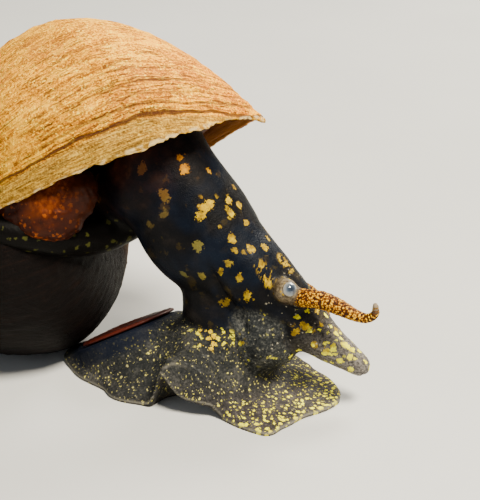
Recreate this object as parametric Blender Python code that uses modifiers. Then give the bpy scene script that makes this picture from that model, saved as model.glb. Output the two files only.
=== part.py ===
# Black panther snail, a freshwater river snail, as a still life-size model.
# It stands on its foot with the head stretched forward and down, out of a tilted shell.
# The source works in millimetres and the finished nodes are scaled to metres.
# Heading is +X, the animal's right side is -Y, the floor is z = 0.

import math
import bpy
import bmesh
import numpy as np
from mathutils import Euler, Matrix, Vector

# Sizes that the parts share
MM = 0.001
GAP = 0.3
ORIGIN = (4.76, 0.98, 0.0)

# Shell: a coiled tube that grows by a fixed ratio on every turn
APEX = np.array((-22.69, -15.19, 6.55))
AXIS = np.array((-0.7285, -0.6414, -0.2408))
UP = np.array((-0.4162, 0.1350, 0.8992))
NEAR = np.array((0.5442, -0.7553, 0.3653))
SHELL_SIZE = 1.071
TURN_RATIO = 1.71
LIP_ANGLE = math.radians(81.8)
WHORL_CENTRE = 8.42
WHORL_OUT = 9.10
WHORL_ALONG = 33.9
WHORL_BASE = 10.5
WHORL_SHOULDER = 15.5
WHORL_SQUARE = 1.71
SHOULDER_SQUARE = 1.60
SHOULDER_LEAN = 0.53
CORE_RADIUS = 0.95
WALL = 0.75
MOUTH_DEPTH = math.radians(150)

# Foot
FOOT_MIDDLE = (14.0, 0.0)
FOOT_OUTLINE = {
    0: 13.1, 12: 12.2, 26: 10.5, 46: 9.5, 70: 8.4, 90: 7.9, 112: 7.9, 132: 8.6, 152: 10.4,
    167: 12.6, 180: 14.0, 201: 11.7, 214: 9.9, 236: 8.9, 250: 7.8, 270: 7.7, 290: 7.9,
    303: 8.5, 312: 10.9, 318: 12.4, 327: 12.2, 338: 12.0, 350: 12.7,
}
FOOT_EDGE = 0.75
FOOT_RISE = (3.4, 5.0)
FOOT_POWER = (1.3, 0.85)
# The right edge folds up over a hump: heights of the crest and of the hem, by degrees
FRILL_CREST = {
    250: 0.0, 254: 0.5, 257: 1.6, 260: 3.0, 264: 3.9, 270: 3.9,
    278: 3.5, 286: 3.0, 295: 2.4, 303: 1.4, 311: 0.5, 320: 0.0,
}
FRILL_HEM = {
    250: 0.0, 254: 0.25, 257: 1.0, 260: 2.6, 263: 3.6, 267: 3.3, 270: 2.7,
    275: 1.9, 281: 1.45, 290: 1.3, 297: 1.1, 301: 0.6, 305: 0.0,
}
# The foot swells up under the neck: centre, half length, half width and top
MOUND = (15.0, 0.0, 6.4, 8.3, 6.3)

# Neck, head and snout share one centre line: x, y, z, half width, half height
NECK_LINE = (
    (7.0, 2.0, 26.2, 3.5, 3.8),
    (8.5, 1.0, 23.0, 4.0, 4.4),
    (10.1, 0.3, 20.0, 4.15, 4.5),
    (13.35, 0.0, 15.05, 4.3, 5.2),
    (16.1, 0.0, 12.7, 4.0, 4.6),
    (18.5, 0.0, 11.4, 3.6, 3.55),
    (21.4, 0.0, 9.3, 3.0, 2.8),
    (23.8, 0.0, 7.25, 2.45, 2.25),
    (25.8, 0.0, 5.7, 1.95, 1.8),
    (27.6, 0.0, 4.72, 1.55, 1.36),
    (29.0, 0.0, 3.98, 1.15, 1.02),
)
SIDE = Vector((0.35, -0.90, 0.26)).normalized()
SNOUT_TILT = Euler((0.0, math.radians(28), 0.0)).to_quaternion()
BEND_CUT = ((13.9, 0.0, 15.6), (0.62, 0.0, -0.78))
HEAD_CUT = ((19.5, 0.0, 10.5), (0.76, 0.0, -0.65))
SNOUT_CUT = ((24.0, 0.0, 7.0), (0.78, 0.0, -0.62))
BELLY_CUT = ((11.9, 0.0, 7.2), (0.28, 0.0, 0.96))
REAR_CUT = ((10.2, 0.0, 0.0), (1.0, 0.0, 0.0))
FRONT_CUT = ((19.2, 0.0, 0.0), (1.0, 0.0, 0.0))

# Mantle: the sac that hangs from the mouth, the collar under it and the throat beside the neck
SAC_MIDDLE = (1.3, -7.2, 17.6)
SAC_SIZE = (4.7, 3.0, 3.0)
SAC_LONG = Vector((0.912, 0.217, -0.348))
SAC_ROOT = ((3.6, -5.8, 18.8), (3.2, 2.7, 2.8))
SAC_FACE = Vector((0.40, -0.86, 0.32)).normalized()
COLLAR = (
    (-5.0, -9.4, 16.6, 1.3), (-1.5, -9.1, 15.7, 1.5), (1.0, -7.9, 15.1, 1.65),
    (3.0, -5.6, 14.3, 1.8), (4.8, -2.0, 13.6, 1.9), (6.8, 0.8, 14.8, 2.2), (9.6, 1.4, 17.6, 2.9),
)
THROAT = ((6.0, 1.3, 17.4), (4.6, 3.9, 3.8))

# Tentacles: pairs of centre and radius from root to tip
TENTACLE_RIGHT = (
    (23.3, -1.3, 9.9, 0.82), (24.3, -2.3, 10.65, 0.84), (26.2, -2.5, 10.8, 0.80),
    (27.8, -2.6, 10.45, 0.72), (29.3, -2.7, 10.0, 0.52), (30.4, -2.8, 9.95, 0.42),
    (31.1, -2.9, 10.55, 0.36), (31.1, -3.0, 11.35, 0.30),
)
TENTACLE_LEFT = (
    (21.7, 1.2, 8.8, 0.82), (21.9, 3.2, 8.9, 0.80), (22.4, 4.7, 8.0, 0.74),
    (22.9, 5.9, 6.8, 0.64), (23.2, 6.8, 5.5, 0.52), (23.4, 7.4, 4.3, 0.42),
    (23.7, 7.9, 3.4, 0.36), (24.2, 8.4, 2.9, 0.30),
)
TENTACLE_JOINTS = (0.42, 0.74)
BULB_RIGHT = (22.84, -2.36, 11.12)
BULB_LEFT = (20.9, 3.15, 9.35)
BULB_RADIUS = 1.12
EYE_RADIUS = 0.68
LOOK_RIGHT = Vector((0.61, -0.64, 0.47)).normalized()
LOOK_LEFT = Vector((0.25, 0.92, 0.30)).normalized()

# Operculum: the horny door carried on the rear of the foot
DOOR_MIDDLE = Vector((5.75, 0.5, 3.6))
DOOR_NORMAL = Vector((-0.48, 0.18, 0.86)).normalized()
DOOR_LONG = 4.65
DOOR_WIDE = 4.4
DOOR_THICK = 0.6

# Colours for the plain node materials
DARK_FLESH = (0.030, 0.030, 0.035, 1.0)
SPECKLED_FLESH = (0.10, 0.085, 0.045, 1.0)
ORANGE_FLESH = (0.36, 0.15, 0.05, 1.0)
SHELL_TAN = (0.42, 0.27, 0.14, 1.0)


def material(name, colour, rough):
    made = bpy.data.materials.new(name)
    made.use_nodes = True
    shader = made.node_tree.nodes["Principled BSDF"]
    shader.inputs["Base Color"].default_value = colour
    shader.inputs["Roughness"].default_value = rough
    return made


def add_mesh(name, points, faces):
    mesh = bpy.data.meshes.new(name)
    mesh.from_pydata([tuple(map(float, p)) for p in points], [], faces)
    mesh.update()
    made = bpy.data.objects.new(name, mesh)
    bpy.context.scene.collection.objects.link(made)
    shape = bmesh.new()
    shape.from_mesh(mesh)
    bmesh.ops.triangulate(shape, faces=[f for f in shape.faces if len(f.verts) > 4])
    bmesh.ops.recalc_face_normals(shape, faces=shape.faces)
    shape.to_mesh(mesh)
    shape.free()
    return made


# A loft through rings of equal count, closed by a point at each end
def loft(name, rings, start, finish):
    count = len(rings[0])
    points = [p for ring in rings for p in ring]
    faces = []
    for r in range(len(rings) - 1):
        for i in range(count):
            j = (i + 1) % count
            a, b = r * count, (r + 1) * count
            faces.append((a + i, a + j, b + j, b + i))
    points.append(start)
    points.append(finish)
    first, last = len(points) - 2, len(points) - 1
    base = (len(rings) - 1) * count
    for i in range(count):
        j = (i + 1) % count
        faces.append((first, j, i))
        faces.append((last, base + i, base + j))
    return add_mesh(name, points, faces)


# A smooth line through the stations, as an array of rows
def smooth_line(stations, steps):
    rows = np.array(stations, float)
    padded = np.vstack([2 * rows[0] - rows[1], rows, 2 * rows[-1] - rows[-2]])
    out = []
    for i in range(1, len(padded) - 2):
        p0, p1, p2, p3 = padded[i - 1:i + 3]
        for s in range(steps):
            t = s / steps
            out.append(0.5 * (2 * p1 + (p2 - p0) * t + (2 * p0 - 5 * p1 + 4 * p2 - p3) * t * t
                              + (3 * p1 - p0 - 3 * p2 + p3) * t ** 3))
    out.append(rows[-1])
    return np.array(out)


# A tube along rows of x, y, z, half width and half height, with rounded ends
def tube(name, line, side, count=20):
    centre = line[:, :3]
    wide = line[:, 3]
    high = line[:, 4] if line.shape[1] > 4 else line[:, 3]
    rings = []
    for i in range(len(line)):
        ahead = Vector(centre[min(i + 1, len(line) - 1)] - centre[max(i - 1, 0)]).normalized()
        across = (side - ahead * side.dot(ahead)).normalized()
        above = across.cross(ahead)
        rings.append([Vector(centre[i]) + across * (wide[i] * math.cos(a)) + above * (high[i] * math.sin(a))
                      for a in np.linspace(0, 2 * math.pi, count, endpoint=False)])
    first = Vector(centre[0] - centre[1]).normalized()
    final = Vector(centre[-1] - centre[-2]).normalized()
    for ring, heart, way, size, where in ((rings[0], centre[0], first, high[0], 0),
                                          (rings[-1], centre[-1], final, high[-1], len(rings))):
        caps = []
        for turn in (0.5, 0.85, 1.2):
            caps.append([Vector(heart) + (p - Vector(heart)) * math.cos(turn) + way * size * math.sin(turn)
                         for p in ring])
        if where == 0:
            rings = caps[::-1] + rings
        else:
            rings = rings + caps
    return loft(name, rings, Vector(centre[0]) + first * high[0], Vector(centre[-1]) + final * high[-1])


def ball(name, centre, radii, turn=None):
    bpy.ops.mesh.primitive_uv_sphere_add(segments=20, ring_count=12, location=(0, 0, 0))
    made = bpy.context.object
    made.name = name
    made.data.transform(Matrix.Diagonal((radii[0], radii[1], radii[2], 1.0)))
    if turn is not None:
        made.data.transform(turn.to_matrix().to_4x4())
    made.data.transform(Matrix.Translation(Vector(centre)))
    return made


# Bake the modifiers into the mesh
def apply_modifiers(made):
    bpy.context.view_layer.update()
    graph = bpy.context.evaluated_depsgraph_get()
    baked = bpy.data.meshes.new_from_object(made.evaluated_get(graph))
    made.modifiers.clear()
    made.data = baked


# Union or difference with a list of objects, which are removed afterwards
def combine(base, others, operation, solver="EXACT"):
    group = bpy.data.collections.new("group")
    for other in others:
        group.objects.link(other)
    before = base.data.copy()
    modifier = base.modifiers.new("combine", "BOOLEAN")
    modifier.operation = operation
    modifier.operand_type = "COLLECTION"
    modifier.collection = group
    modifier.solver = solver
    apply_modifiers(base)
    if len(base.data.polygons) == 0 and solver == "EXACT":
        base.data = before
        modifier = base.modifiers.new("combine", "BOOLEAN")
        modifier.operation = operation
        modifier.operand_type = "COLLECTION"
        modifier.collection = group
        modifier.solver = "MANIFOLD"
        apply_modifiers(base)
    for other in others:
        bpy.data.objects.remove(other)
    bpy.data.collections.remove(group)
    return base


# Keep the largest closed surface and drop crumbs
def keep_largest(made):
    shape = bmesh.new()
    shape.from_mesh(made.data)
    bmesh.ops.remove_doubles(shape, verts=shape.verts, dist=0.0001)
    bmesh.ops.dissolve_degenerate(shape, dist=0.0001, edges=shape.edges)
    bmesh.ops.triangulate(shape, faces=shape.faces)
    islands = []
    seen = set()
    for face in shape.faces:
        if face in seen:
            continue
        stack = [face]
        seen.add(face)
        island = []
        while stack:
            here = stack.pop()
            island.append(here)
            for edge in here.edges:
                for other in edge.link_faces:
                    if other not in seen:
                        seen.add(other)
                        stack.append(other)
        islands.append(island)
    islands.sort(key=len, reverse=True)
    for island in islands[1:]:
        bmesh.ops.delete(shape, geom=island, context="FACES")
    loose = [v for v in shape.verts if not v.link_faces]
    bmesh.ops.delete(shape, geom=loose, context="VERTS")
    bmesh.ops.recalc_face_normals(shape, faces=shape.faces)
    shape.to_mesh(made.data)
    shape.free()
    return made


# Cut away everything on the side of a plane that its normal points to
def slice_off(made, point, normal):
    shape = bmesh.new()
    shape.from_mesh(made.data)
    everything = list(shape.verts) + list(shape.edges) + list(shape.faces)
    bmesh.ops.bisect_plane(shape, geom=everything, dist=0.00002, plane_co=point,
                           plane_no=normal, clear_outer=True)
    rim = [e for e in shape.edges if e.is_boundary]
    if rim:
        bmesh.ops.triangle_fill(shape, use_beauty=True, use_dissolve=False, edges=rim)
    bmesh.ops.recalc_face_normals(shape, faces=shape.faces)
    shape.to_mesh(made.data)
    shape.free()
    return made


def duplicate(made, name):
    copy = made.copy()
    copy.data = made.data.copy()
    copy.name = name
    bpy.context.scene.collection.objects.link(copy)
    return copy


# One voxel union of flesh forms, smoothed and thinned
def fuse(name, forms, voxel, keep, rounds):
    joined = bmesh.new()
    for form in forms:
        joined.from_mesh(form.data)
        bpy.data.objects.remove(form)
    base = add_mesh(name, [], [])
    joined.to_mesh(base.data)
    joined.free()
    skin = base.modifiers.new("skin", "REMESH")
    skin.mode = "VOXEL"
    skin.voxel_size = voxel
    soften = base.modifiers.new("soften", "SMOOTH")
    soften.factor = 0.5
    soften.iterations = rounds
    thin = base.modifiers.new("thin", "DECIMATE")
    thin.ratio = keep
    apply_modifiers(base)
    return keep_largest(base)


# Outline of the whorl as radius and distance along the axis, moved in by the inset
def whorl_section(count, grow, inset):
    angle = np.linspace(0, 2 * math.pi, count, endpoint=False)
    c, s = np.cos(angle), np.sin(angle)
    power = np.where(s > 0, 2 / WHORL_SQUARE, 2 / SHOULDER_SQUARE)
    c = np.sign(c) * np.abs(c) ** power
    s = np.sign(s) * np.abs(s) ** power
    radius = np.where(c > 0, WHORL_CENTRE + WHORL_OUT * c, WHORL_CENTRE + (WHORL_CENTRE - 0.5) * c)
    radius = radius - SHOULDER_LEAN * np.clip(-s, 0, 1) ** 2 * np.clip(c + 0.3, 0, 1)
    along = WHORL_ALONG + np.where(s > 0, WHORL_BASE, WHORL_SHOULDER) * s
    radius, along = radius * grow, along * grow
    slope_r = np.roll(radius, -1) - np.roll(radius, 1)
    slope_z = np.roll(along, -1) - np.roll(along, 1)
    length = np.hypot(slope_r, slope_z)
    return radius - inset * slope_z / length, along + inset * slope_r / length


def whorl_ring(turn, inset=0.0, count=36, shrink=1.0, extra=0.0):
    grow = SHELL_SIZE * TURN_RATIO ** turn
    radius, along = whorl_section(count, grow, inset)
    middle_r, middle_z = radius.mean(), along.mean()
    radius = middle_r + (radius - middle_r) * shrink
    along = middle_z + (along - middle_z) * shrink
    angle = LIP_ANGLE + 2 * math.pi * (turn + extra)
    out = math.cos(angle) * UP + math.sin(angle) * NEAR
    return [APEX + r * out - z * AXIS for r, z in zip(radius, along)]


# A closed piece of the coiled tube between two turns, with a narrower plug into the next
def coil(name, start, finish, inset, count, steps, plug=True):
    turns = np.linspace(start, finish, steps)
    rings = [whorl_ring(t, inset, count) for t in turns]
    if plug:
        rings.append(whorl_ring(finish + 0.02, inset, count, 0.93))
    first = np.mean(rings[0], axis=0)
    last = np.mean(rings[-1], axis=0)
    return loft(name, rings, first, last)


# A solid pillar on the axis of the coil
def core(name, start, finish, inset):
    high = WHORL_ALONG * SHELL_SIZE * TURN_RATIO ** start * 0.86
    low = WHORL_ALONG * SHELL_SIZE * TURN_RATIO ** finish * 1.05
    size = max(CORE_RADIUS * TURN_RATIO ** finish, 0.25) - inset
    rings = []
    for z, scale in ((high, 0.8), ((high + low) / 2, 0.95), (low, 1.0)):
        rings.append([APEX - z * AXIS + size * scale * (math.cos(a) * UP + math.sin(a) * NEAR)
                      for a in np.linspace(0, 2 * math.pi, 12, endpoint=False)])
    return loft(name, rings, APEX - high * AXIS, APEX - low * AXIS)


def solid_turns(name, start, finish, inset, count, steps, pieces):
    edges = np.linspace(start, finish, pieces + 1)
    made = [coil(name + str(i), edges[i], edges[i + 1], inset, count, steps, i < pieces - 1)
            for i in range(pieces)]
    made.append(core(name + "_core", start, finish, inset))
    return combine(made[0], made[1:], "UNION")


def build_shell():
    # Body whorl: three pieces, the last two hollowed from the mouth inward
    depth = MOUTH_DEPTH / (2 * math.pi)
    rear = coil("rear", -1.0, -0.66, 0.02, 30, 10)
    side = coil("side", -0.67, -0.33, 0.0, 34, 11)
    front = coil("front", -0.33, 0.0, 0.0, 34, 11, False)
    body = combine(side, [front], "UNION")
    room = coil("room", -depth, -0.2, WALL, 28, 8)
    mouth = coil("mouth", -0.2, 0.03, WALL, 28, 8, False)
    room = combine(room, [mouth], "UNION")
    body = combine(body, [room], "DIFFERENCE")
    body = combine(body, [rear, core("core", -1.0, -0.42, 0.0)], "UNION")
    before = solid_turns("before", -2.4, -0.993, -GAP, 28, 12, 4)
    body = combine(body, [before], "DIFFERENCE")
    body.name = "shell_body_whorl"
    penultimate = solid_turns("penult", -2.0, -1.0, 0.0, 26, 9, 3)
    earlier = solid_turns("earlier", -3.4, -1.985, -GAP, 20, 8, 4)
    penultimate = combine(penultimate, [earlier], "DIFFERENCE")
    penultimate.name = "shell_penultimate_whorl"
    spire = solid_turns("spire", -4.6, -2.0, 0.0, 18, 6, 8)
    spire.name = "shell_spire"
    return body, penultimate, spire


def foot_reach(angle):
    keys = sorted(FOOT_OUTLINE)
    degrees = [k - 360 for k in keys[-4:]] + keys + [k + 360 for k in keys[:4]]
    values = [FOOT_OUTLINE[k % 360] for k in degrees]
    here = math.degrees(angle) % 360
    i = max(j for j in range(len(degrees)) if degrees[j] <= here)
    p0, p1, p2, p3 = values[i - 1], values[i], values[i + 1], values[i + 2]
    d0, d1, d2, d3 = degrees[i - 1], degrees[i], degrees[i + 1], degrees[i + 2]
    t = (here - d1) / (d2 - d1)
    m1 = (p2 - p0) / (d2 - d0) * (d2 - d1)
    m2 = (p3 - p1) / (d3 - d1) * (d2 - d1)
    return ((2 * t ** 3 - 3 * t ** 2 + 1) * p1 + (t ** 3 - 2 * t ** 2 + t) * m1
            + (-2 * t ** 3 + 3 * t ** 2) * p2 + (t ** 3 - t ** 2) * m2)


# Height of the folded edge on the right side of the foot
def frill_lift(angle, reach):
    here = math.degrees(angle) % 360
    crest = np.interp(here, list(FRILL_CREST), list(FRILL_CREST.values()))
    hem = np.interp(here, list(FRILL_HEM), list(FRILL_HEM.values()))
    inner = min(max((reach - 0.42) / 0.38, 0.0), 1.0) ** 1.6
    share = min(max((reach - 0.82) / 0.18, 0.0), 1.0)
    return float(crest * inner + (hem - crest) * share * share * (3 - 2 * share))


def foot_point(angle, reach, height, mounded=False):
    length = foot_reach(angle) * reach
    x = FOOT_MIDDLE[0] + length * math.cos(angle)
    y = FOOT_MIDDLE[1] + length * math.sin(angle)
    if mounded:
        far = math.hypot((x - MOUND[0]) / MOUND[2], (y - MOUND[1]) / MOUND[3])
        share = min(max((far - 0.33) / 0.67, 0.0), 1.0)
        height += max(MOUND[4] - height, 0.0) * (1 - share * share * (3 - 2 * share))
    return (x, y, height)


def build_foot():
    angles = np.linspace(0, 2 * math.pi, 96, endpoint=False)
    rings = []
    for reach in (0.12, 0.3, 0.42, 0.52, 0.62, 0.71, 0.8, 0.88, 0.94, 0.98):
        ring = []
        for a in angles:
            rear = min(max(-math.cos(a) / 0.6, 0.0), 1.0)
            rear = rear * rear * (3 - 2 * rear)
            rise = FOOT_RISE[0] + (FOOT_RISE[1] - FOOT_RISE[0]) * rear
            power = FOOT_POWER[0] + (FOOT_POWER[1] - FOOT_POWER[0]) * rear
            slope = FOOT_EDGE + (rise - FOOT_EDGE) * (1 - reach) ** power
            ring.append(foot_point(a, reach, slope + frill_lift(a, reach), True))
        rings.append(ring)
    rings.append([foot_point(a, 1.0, FOOT_EDGE * 0.5 + frill_lift(a, 1.0)) for a in angles])
    for reach in (0.98, 0.92, 0.84, 0.74, 0.6, 0.4, 0.15):
        rings.append([foot_point(a, reach, -0.5 * (reach < 0.97) + frill_lift(a, reach)) for a in angles])
    return loft("foot_form", rings, (FOOT_MIDDLE[0], 0, MOUND[4]), (FOOT_MIDDLE[0], 0, -0.5))


# Turn that lays the long axis of a disc forward and its face along the normal
def disc_turn(normal, forward):
    ahead = (forward - normal * forward.dot(normal)).normalized()
    across = normal.cross(ahead)
    return Matrix((ahead, across, normal)).transposed()


def build_door(name, grow):
    turn = disc_turn(DOOR_NORMAL, Vector((1, 0, 0.3)))
    rings = []
    half = DOOR_THICK / 2 + grow
    for size, level in ((0.5, -1), (0.95, -1), (1.0, -0.4), (1.0, 0.4), (0.95, 1), (0.5, 1)):
        ring = []
        for a in np.linspace(0, 2 * math.pi, 32, endpoint=False):
            long = (DOOR_LONG + grow) * size * math.cos(a) * (1 + 0.08 * math.cos(a))
            wide = (DOOR_WIDE + grow) * size * math.sin(a)
            dish = 0.35 * ((long / DOOR_LONG) ** 2 + (wide / DOOR_WIDE) ** 2)
            ring.append(DOOR_MIDDLE + turn @ Vector((long, wide, level * half - dish)))
        rings.append(ring)
    return loft(name, rings, DOOR_MIDDLE - DOOR_NORMAL * half, DOOR_MIDDLE + DOOR_NORMAL * half)


def build_body():
    neck = tube("neck_form", smooth_line(NECK_LINE, 4), SIDE, 28)
    stalk = tube("stalk", smooth_line(((15.2, 0.0, 12.0, 3.2, 3.0), (15.6, 0.0, 8.6, 3.4, 3.4),
                                       (16.0, 0.0, 5.4, 3.9, 3.8), (16.2, 0.0, 2.6, 4.8, 4.8),
                                       (16.2, 0.0, 1.6, 4.8, 4.8)), 4), Vector((0, -1, 0)), 24)
    shoulder = ball("shoulder", (20.3, -0.7, 5.7), (3.3, 3.1, 3.4))
    upper_lip = ball("upper_lip", (29.35, 0.0, 3.8), (0.8, 1.15, 0.45), SNOUT_TILT)
    lower_lip = ball("lower_lip", (29.05, 0.0, 3.0), (0.75, 1.05, 0.42), SNOUT_TILT)
    tilt = disc_turn(DOOR_NORMAL, Vector((1, 0, 0.3))).to_quaternion()
    lobe = ball("lobe", DOOR_MIDDLE - DOOR_NORMAL * 1.5, (DOOR_LONG + 1.0, DOOR_WIDE + 0.6, 3.0), tilt)
    slice_off(lobe, DOOR_MIDDLE - DOOR_NORMAL * (DOOR_THICK / 2 + GAP), DOOR_NORMAL)
    flesh = fuse("flesh", [neck, stalk, shoulder, upper_lip, lower_lip, lobe, build_foot()], 0.32, 0.09, 6)
    return flesh


def build_mantle():
    fill = coil("fill", -0.2, -0.04, WALL + GAP, 32, 10, False)
    sac = ball("sac", SAC_MIDDLE, SAC_SIZE, disc_turn(SAC_FACE, SAC_LONG).to_quaternion())
    collar = tube("collar", smooth_line(COLLAR, 3), Vector((0.3, -0.9, 0.2)), 20)
    throat = ball("throat", THROAT[0], THROAT[1])
    root = ball("sac_root", SAC_ROOT[0], SAC_ROOT[1])
    made = fuse("mantle_form", [fill, sac, root, collar, throat], 0.36, 0.2, 3)
    combine(made, [coil("beyond", -0.3, 0.16, WALL + GAP, 24, 10, False)], "INTERSECT")
    return fuse("mantle", [made], 0.36, 0.055, 6)


def build_tentacle(name, stations):
    whole = tube(name, smooth_line(stations, 3), SIDE, 14)
    line = smooth_line(stations, 3)
    names = (name + "_base", name + "_middle", name + "_tip")
    cuts = [line[int(len(line) * share)] for share in TENTACLE_JOINTS]
    ways = [Vector(line[int(len(line) * share) + 1][:3] - line[int(len(line) * share) - 1][:3]).normalized()
            for share in TENTACLE_JOINTS]
    parts = []
    for i, part_name in enumerate(names):
        part = duplicate(whole, part_name)
        if i < 2:
            slice_off(part, Vector(cuts[i][:3]) - ways[i] * GAP / 2, ways[i])
        if i > 0:
            slice_off(part, Vector(cuts[i - 1][:3]) + ways[i - 1] * GAP / 2, -ways[i - 1])
        parts.append(keep_largest(part))
    bpy.data.objects.remove(whole)
    return parts


# A copy of the source cut back to the region behind all the planes
def region(source, name, planes):
    part = duplicate(source, name)
    for point, normal in planes:
        way = Vector(normal).normalized()
        slice_off(part, Vector(point) - way * GAP / 2, way)
    return keep_largest(part)


def flip(cut):
    return cut[0], tuple(-v for v in cut[1])


# Eye stalk and eye: the bulb is faced off and the eye is a dome on that face
def build_eye(side_name, centre, look):
    bulb = ball("eye_bulb_" + side_name, centre, (BULB_RADIUS, BULB_RADIUS, BULB_RADIUS))
    eye = ball("eye_" + side_name, Vector(centre) + look * 0.66, (EYE_RADIUS, EYE_RADIUS, EYE_RADIUS))
    face = Vector(centre) + look * 0.62
    slice_off(bulb, face, look)
    slice_off(eye, face + look * GAP, -look)
    return bulb, keep_largest(eye)


for old in list(bpy.data.objects):
    bpy.data.objects.remove(old)

nodes = {}
nodes["shell_body_whorl"], nodes["shell_penultimate_whorl"], nodes["shell_spire"] = build_shell()
flesh = build_body()
mantle = build_mantle()

# Clear the flesh and the mantle from the shell wall, the door and each other
wall = coil("wall", -0.45, 0.0, -GAP, 36, 14, False)
hollow = coil("hollow", -0.46, 0.03, WALL + GAP, 36, 14, False)
combine(wall, [hollow], "DIFFERENCE")
mouth = ball("mouth", (29.95, 0.0, 3.2), (1.0, 1.0, 0.17), SNOUT_TILT)
combine(flesh, [duplicate(wall, "wall_copy"), build_door("door_room", GAP), mouth], "DIFFERENCE")
slice_off(flesh, Vector((0, 0, 0)), Vector((0, 0, -1)))
keep_largest(flesh)
neck_room = np.array(NECK_LINE)
neck_room[:, 3:] += GAP
neck_room = tube("neck_room", smooth_line(neck_room, 4), SIDE, 28)
inner_turn = coil("inner_turn", -1.3, -0.6, -GAP, 32, 20, False)
combine(mantle, [wall, duplicate(neck_room, "neck_copy"), inner_turn], "DIFFERENCE")
thin = mantle.modifiers.new("thin", "DECIMATE")
thin.ratio = 0.45
apply_modifiers(mantle)
nodes["mantle"] = keep_largest(mantle)

nodes["neck_upper"] = region(flesh, "neck_upper", (BEND_CUT, flip(BELLY_CUT)))
nodes["neck_lower"] = region(flesh, "neck_lower", (flip(BEND_CUT), HEAD_CUT, flip(BELLY_CUT)))
nodes["head"] = region(flesh, "head", (flip(HEAD_CUT), SNOUT_CUT, flip(BELLY_CUT)))
nodes["snout"] = region(flesh, "snout", (flip(SNOUT_CUT), flip(BELLY_CUT)))
nodes["foot_rear"] = region(flesh, "foot_rear", (BELLY_CUT, REAR_CUT))
nodes["foot_middle"] = region(flesh, "foot_middle", (BELLY_CUT, flip(REAR_CUT), FRONT_CUT))
nodes["foot_front"] = region(flesh, "foot_front", (BELLY_CUT, flip(FRONT_CUT)))
nodes["operculum"] = build_door("operculum", 0.0)

for side_name, stations, centre, look in (("right", TENTACLE_RIGHT, BULB_RIGHT, LOOK_RIGHT),
                                          ("left", TENTACLE_LEFT, BULB_LEFT, LOOK_LEFT)):
    bulb, eye = build_eye(side_name, centre, look)
    parts = build_tentacle("tentacle_" + side_name, stations)
    combine(bulb, [duplicate(neck_room, "neck_copy")], "DIFFERENCE")
    room = ball("bulb_room", centre, (BULB_RADIUS + GAP,) * 3)
    combine(parts[0], [duplicate(neck_room, "neck_copy"), room], "DIFFERENCE")
    nodes[bulb.name] = keep_largest(bulb)
    nodes[eye.name] = eye
    for part in parts:
        nodes[part.name] = keep_largest(part)

bpy.data.objects.remove(flesh)
bpy.data.objects.remove(neck_room)

# The shell rests on a small flat where it meets the floor
for name in ("shell_body_whorl", "shell_penultimate_whorl", "shell_spire"):
    slice_off(nodes[name], Vector((0, 0, 0)), Vector((0, 0, -1)))
    keep_largest(nodes[name])

looks = {
    "shell": material("shell_tan", SHELL_TAN, 0.75),
    "flesh": material("speckled_flesh", SPECKLED_FLESH, 0.35),
    "dark": material("dark_flesh", DARK_FLESH, 0.3),
    "orange": material("orange_flesh", ORANGE_FLESH, 0.35),
    "horn": material("operculum_horn", (0.20, 0.05, 0.03, 1.0), 0.4),
    "eye": material("eye_gloss", (0.02, 0.03, 0.06, 1.0), 0.08),
}
for name, made in nodes.items():
    kind = "dark"
    if name.startswith("shell"):
        kind = "shell"
    elif name.startswith("foot") or name == "snout":
        kind = "flesh"
    elif name.startswith("tentacle") or name == "mantle":
        kind = "orange"
    elif name == "operculum":
        kind = "horn"
    elif name in ("eye_right", "eye_left"):
        kind = "eye"
    made.name = name
    made.data.name = name
    made.data.materials.clear()
    own = looks[kind].copy()
    own.name = name + "_surface"
    made.data.materials.append(own)
    made.data.transform(Matrix.Scale(MM, 4) @ Matrix.Translation(-Vector(ORIGIN)))
for look in looks.values():
    bpy.data.materials.remove(look)
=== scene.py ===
import math
import bmesh
import bpy
import numpy as np
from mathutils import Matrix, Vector


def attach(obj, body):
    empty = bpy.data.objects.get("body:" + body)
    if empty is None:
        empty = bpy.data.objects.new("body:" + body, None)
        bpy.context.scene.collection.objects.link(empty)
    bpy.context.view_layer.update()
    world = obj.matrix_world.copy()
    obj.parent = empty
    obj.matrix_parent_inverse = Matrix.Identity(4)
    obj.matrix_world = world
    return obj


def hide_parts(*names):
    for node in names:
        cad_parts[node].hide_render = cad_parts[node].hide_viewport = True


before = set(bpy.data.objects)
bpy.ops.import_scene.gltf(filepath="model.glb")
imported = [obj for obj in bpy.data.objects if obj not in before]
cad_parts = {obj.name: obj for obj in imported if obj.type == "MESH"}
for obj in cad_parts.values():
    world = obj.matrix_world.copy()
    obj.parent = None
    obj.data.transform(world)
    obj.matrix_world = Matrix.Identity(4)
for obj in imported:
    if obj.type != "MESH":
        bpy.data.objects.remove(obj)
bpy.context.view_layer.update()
print("frame loaded")

# Lengths are in millimetres from the tail end of the sole, and toRow moves them into the row frame
rowOrigin = np.array((4.76, 0.98, 0.0))
twoPi = 2 * math.pi


def toRow(points):
    return (np.asarray(points, float) - rowOrigin) * 0.001


def lengths(vectors):
    return np.linalg.norm(vectors, axis=-1)


def unit(vector):
    vector = np.asarray(vector, float)
    return vector / lengths(vector)


def ease(value, low, high):  # 0 below low, 1 above high, smooth between
    share = np.clip((np.asarray(value, float) - low) / (high - low), 0, 1)
    return share * share * (3 - 2 * share)


def ripple(first, second, seed, terms, low, high):  # smooth seeded wave over two coordinates
    draw = np.random.default_rng(seed)
    total = 0.0
    for _ in range(terms):
        a, b = draw.uniform(low, high, 2) * draw.choice((-1, 1), 2)
        total = total + np.sin(a * first + b * second + draw.uniform(0, twoPi))
    return total / math.sqrt(terms)


def addObject(name, data):
    thing = bpy.data.objects.new(name, data)
    bpy.context.scene.collection.objects.link(thing)
    return thing


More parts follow.
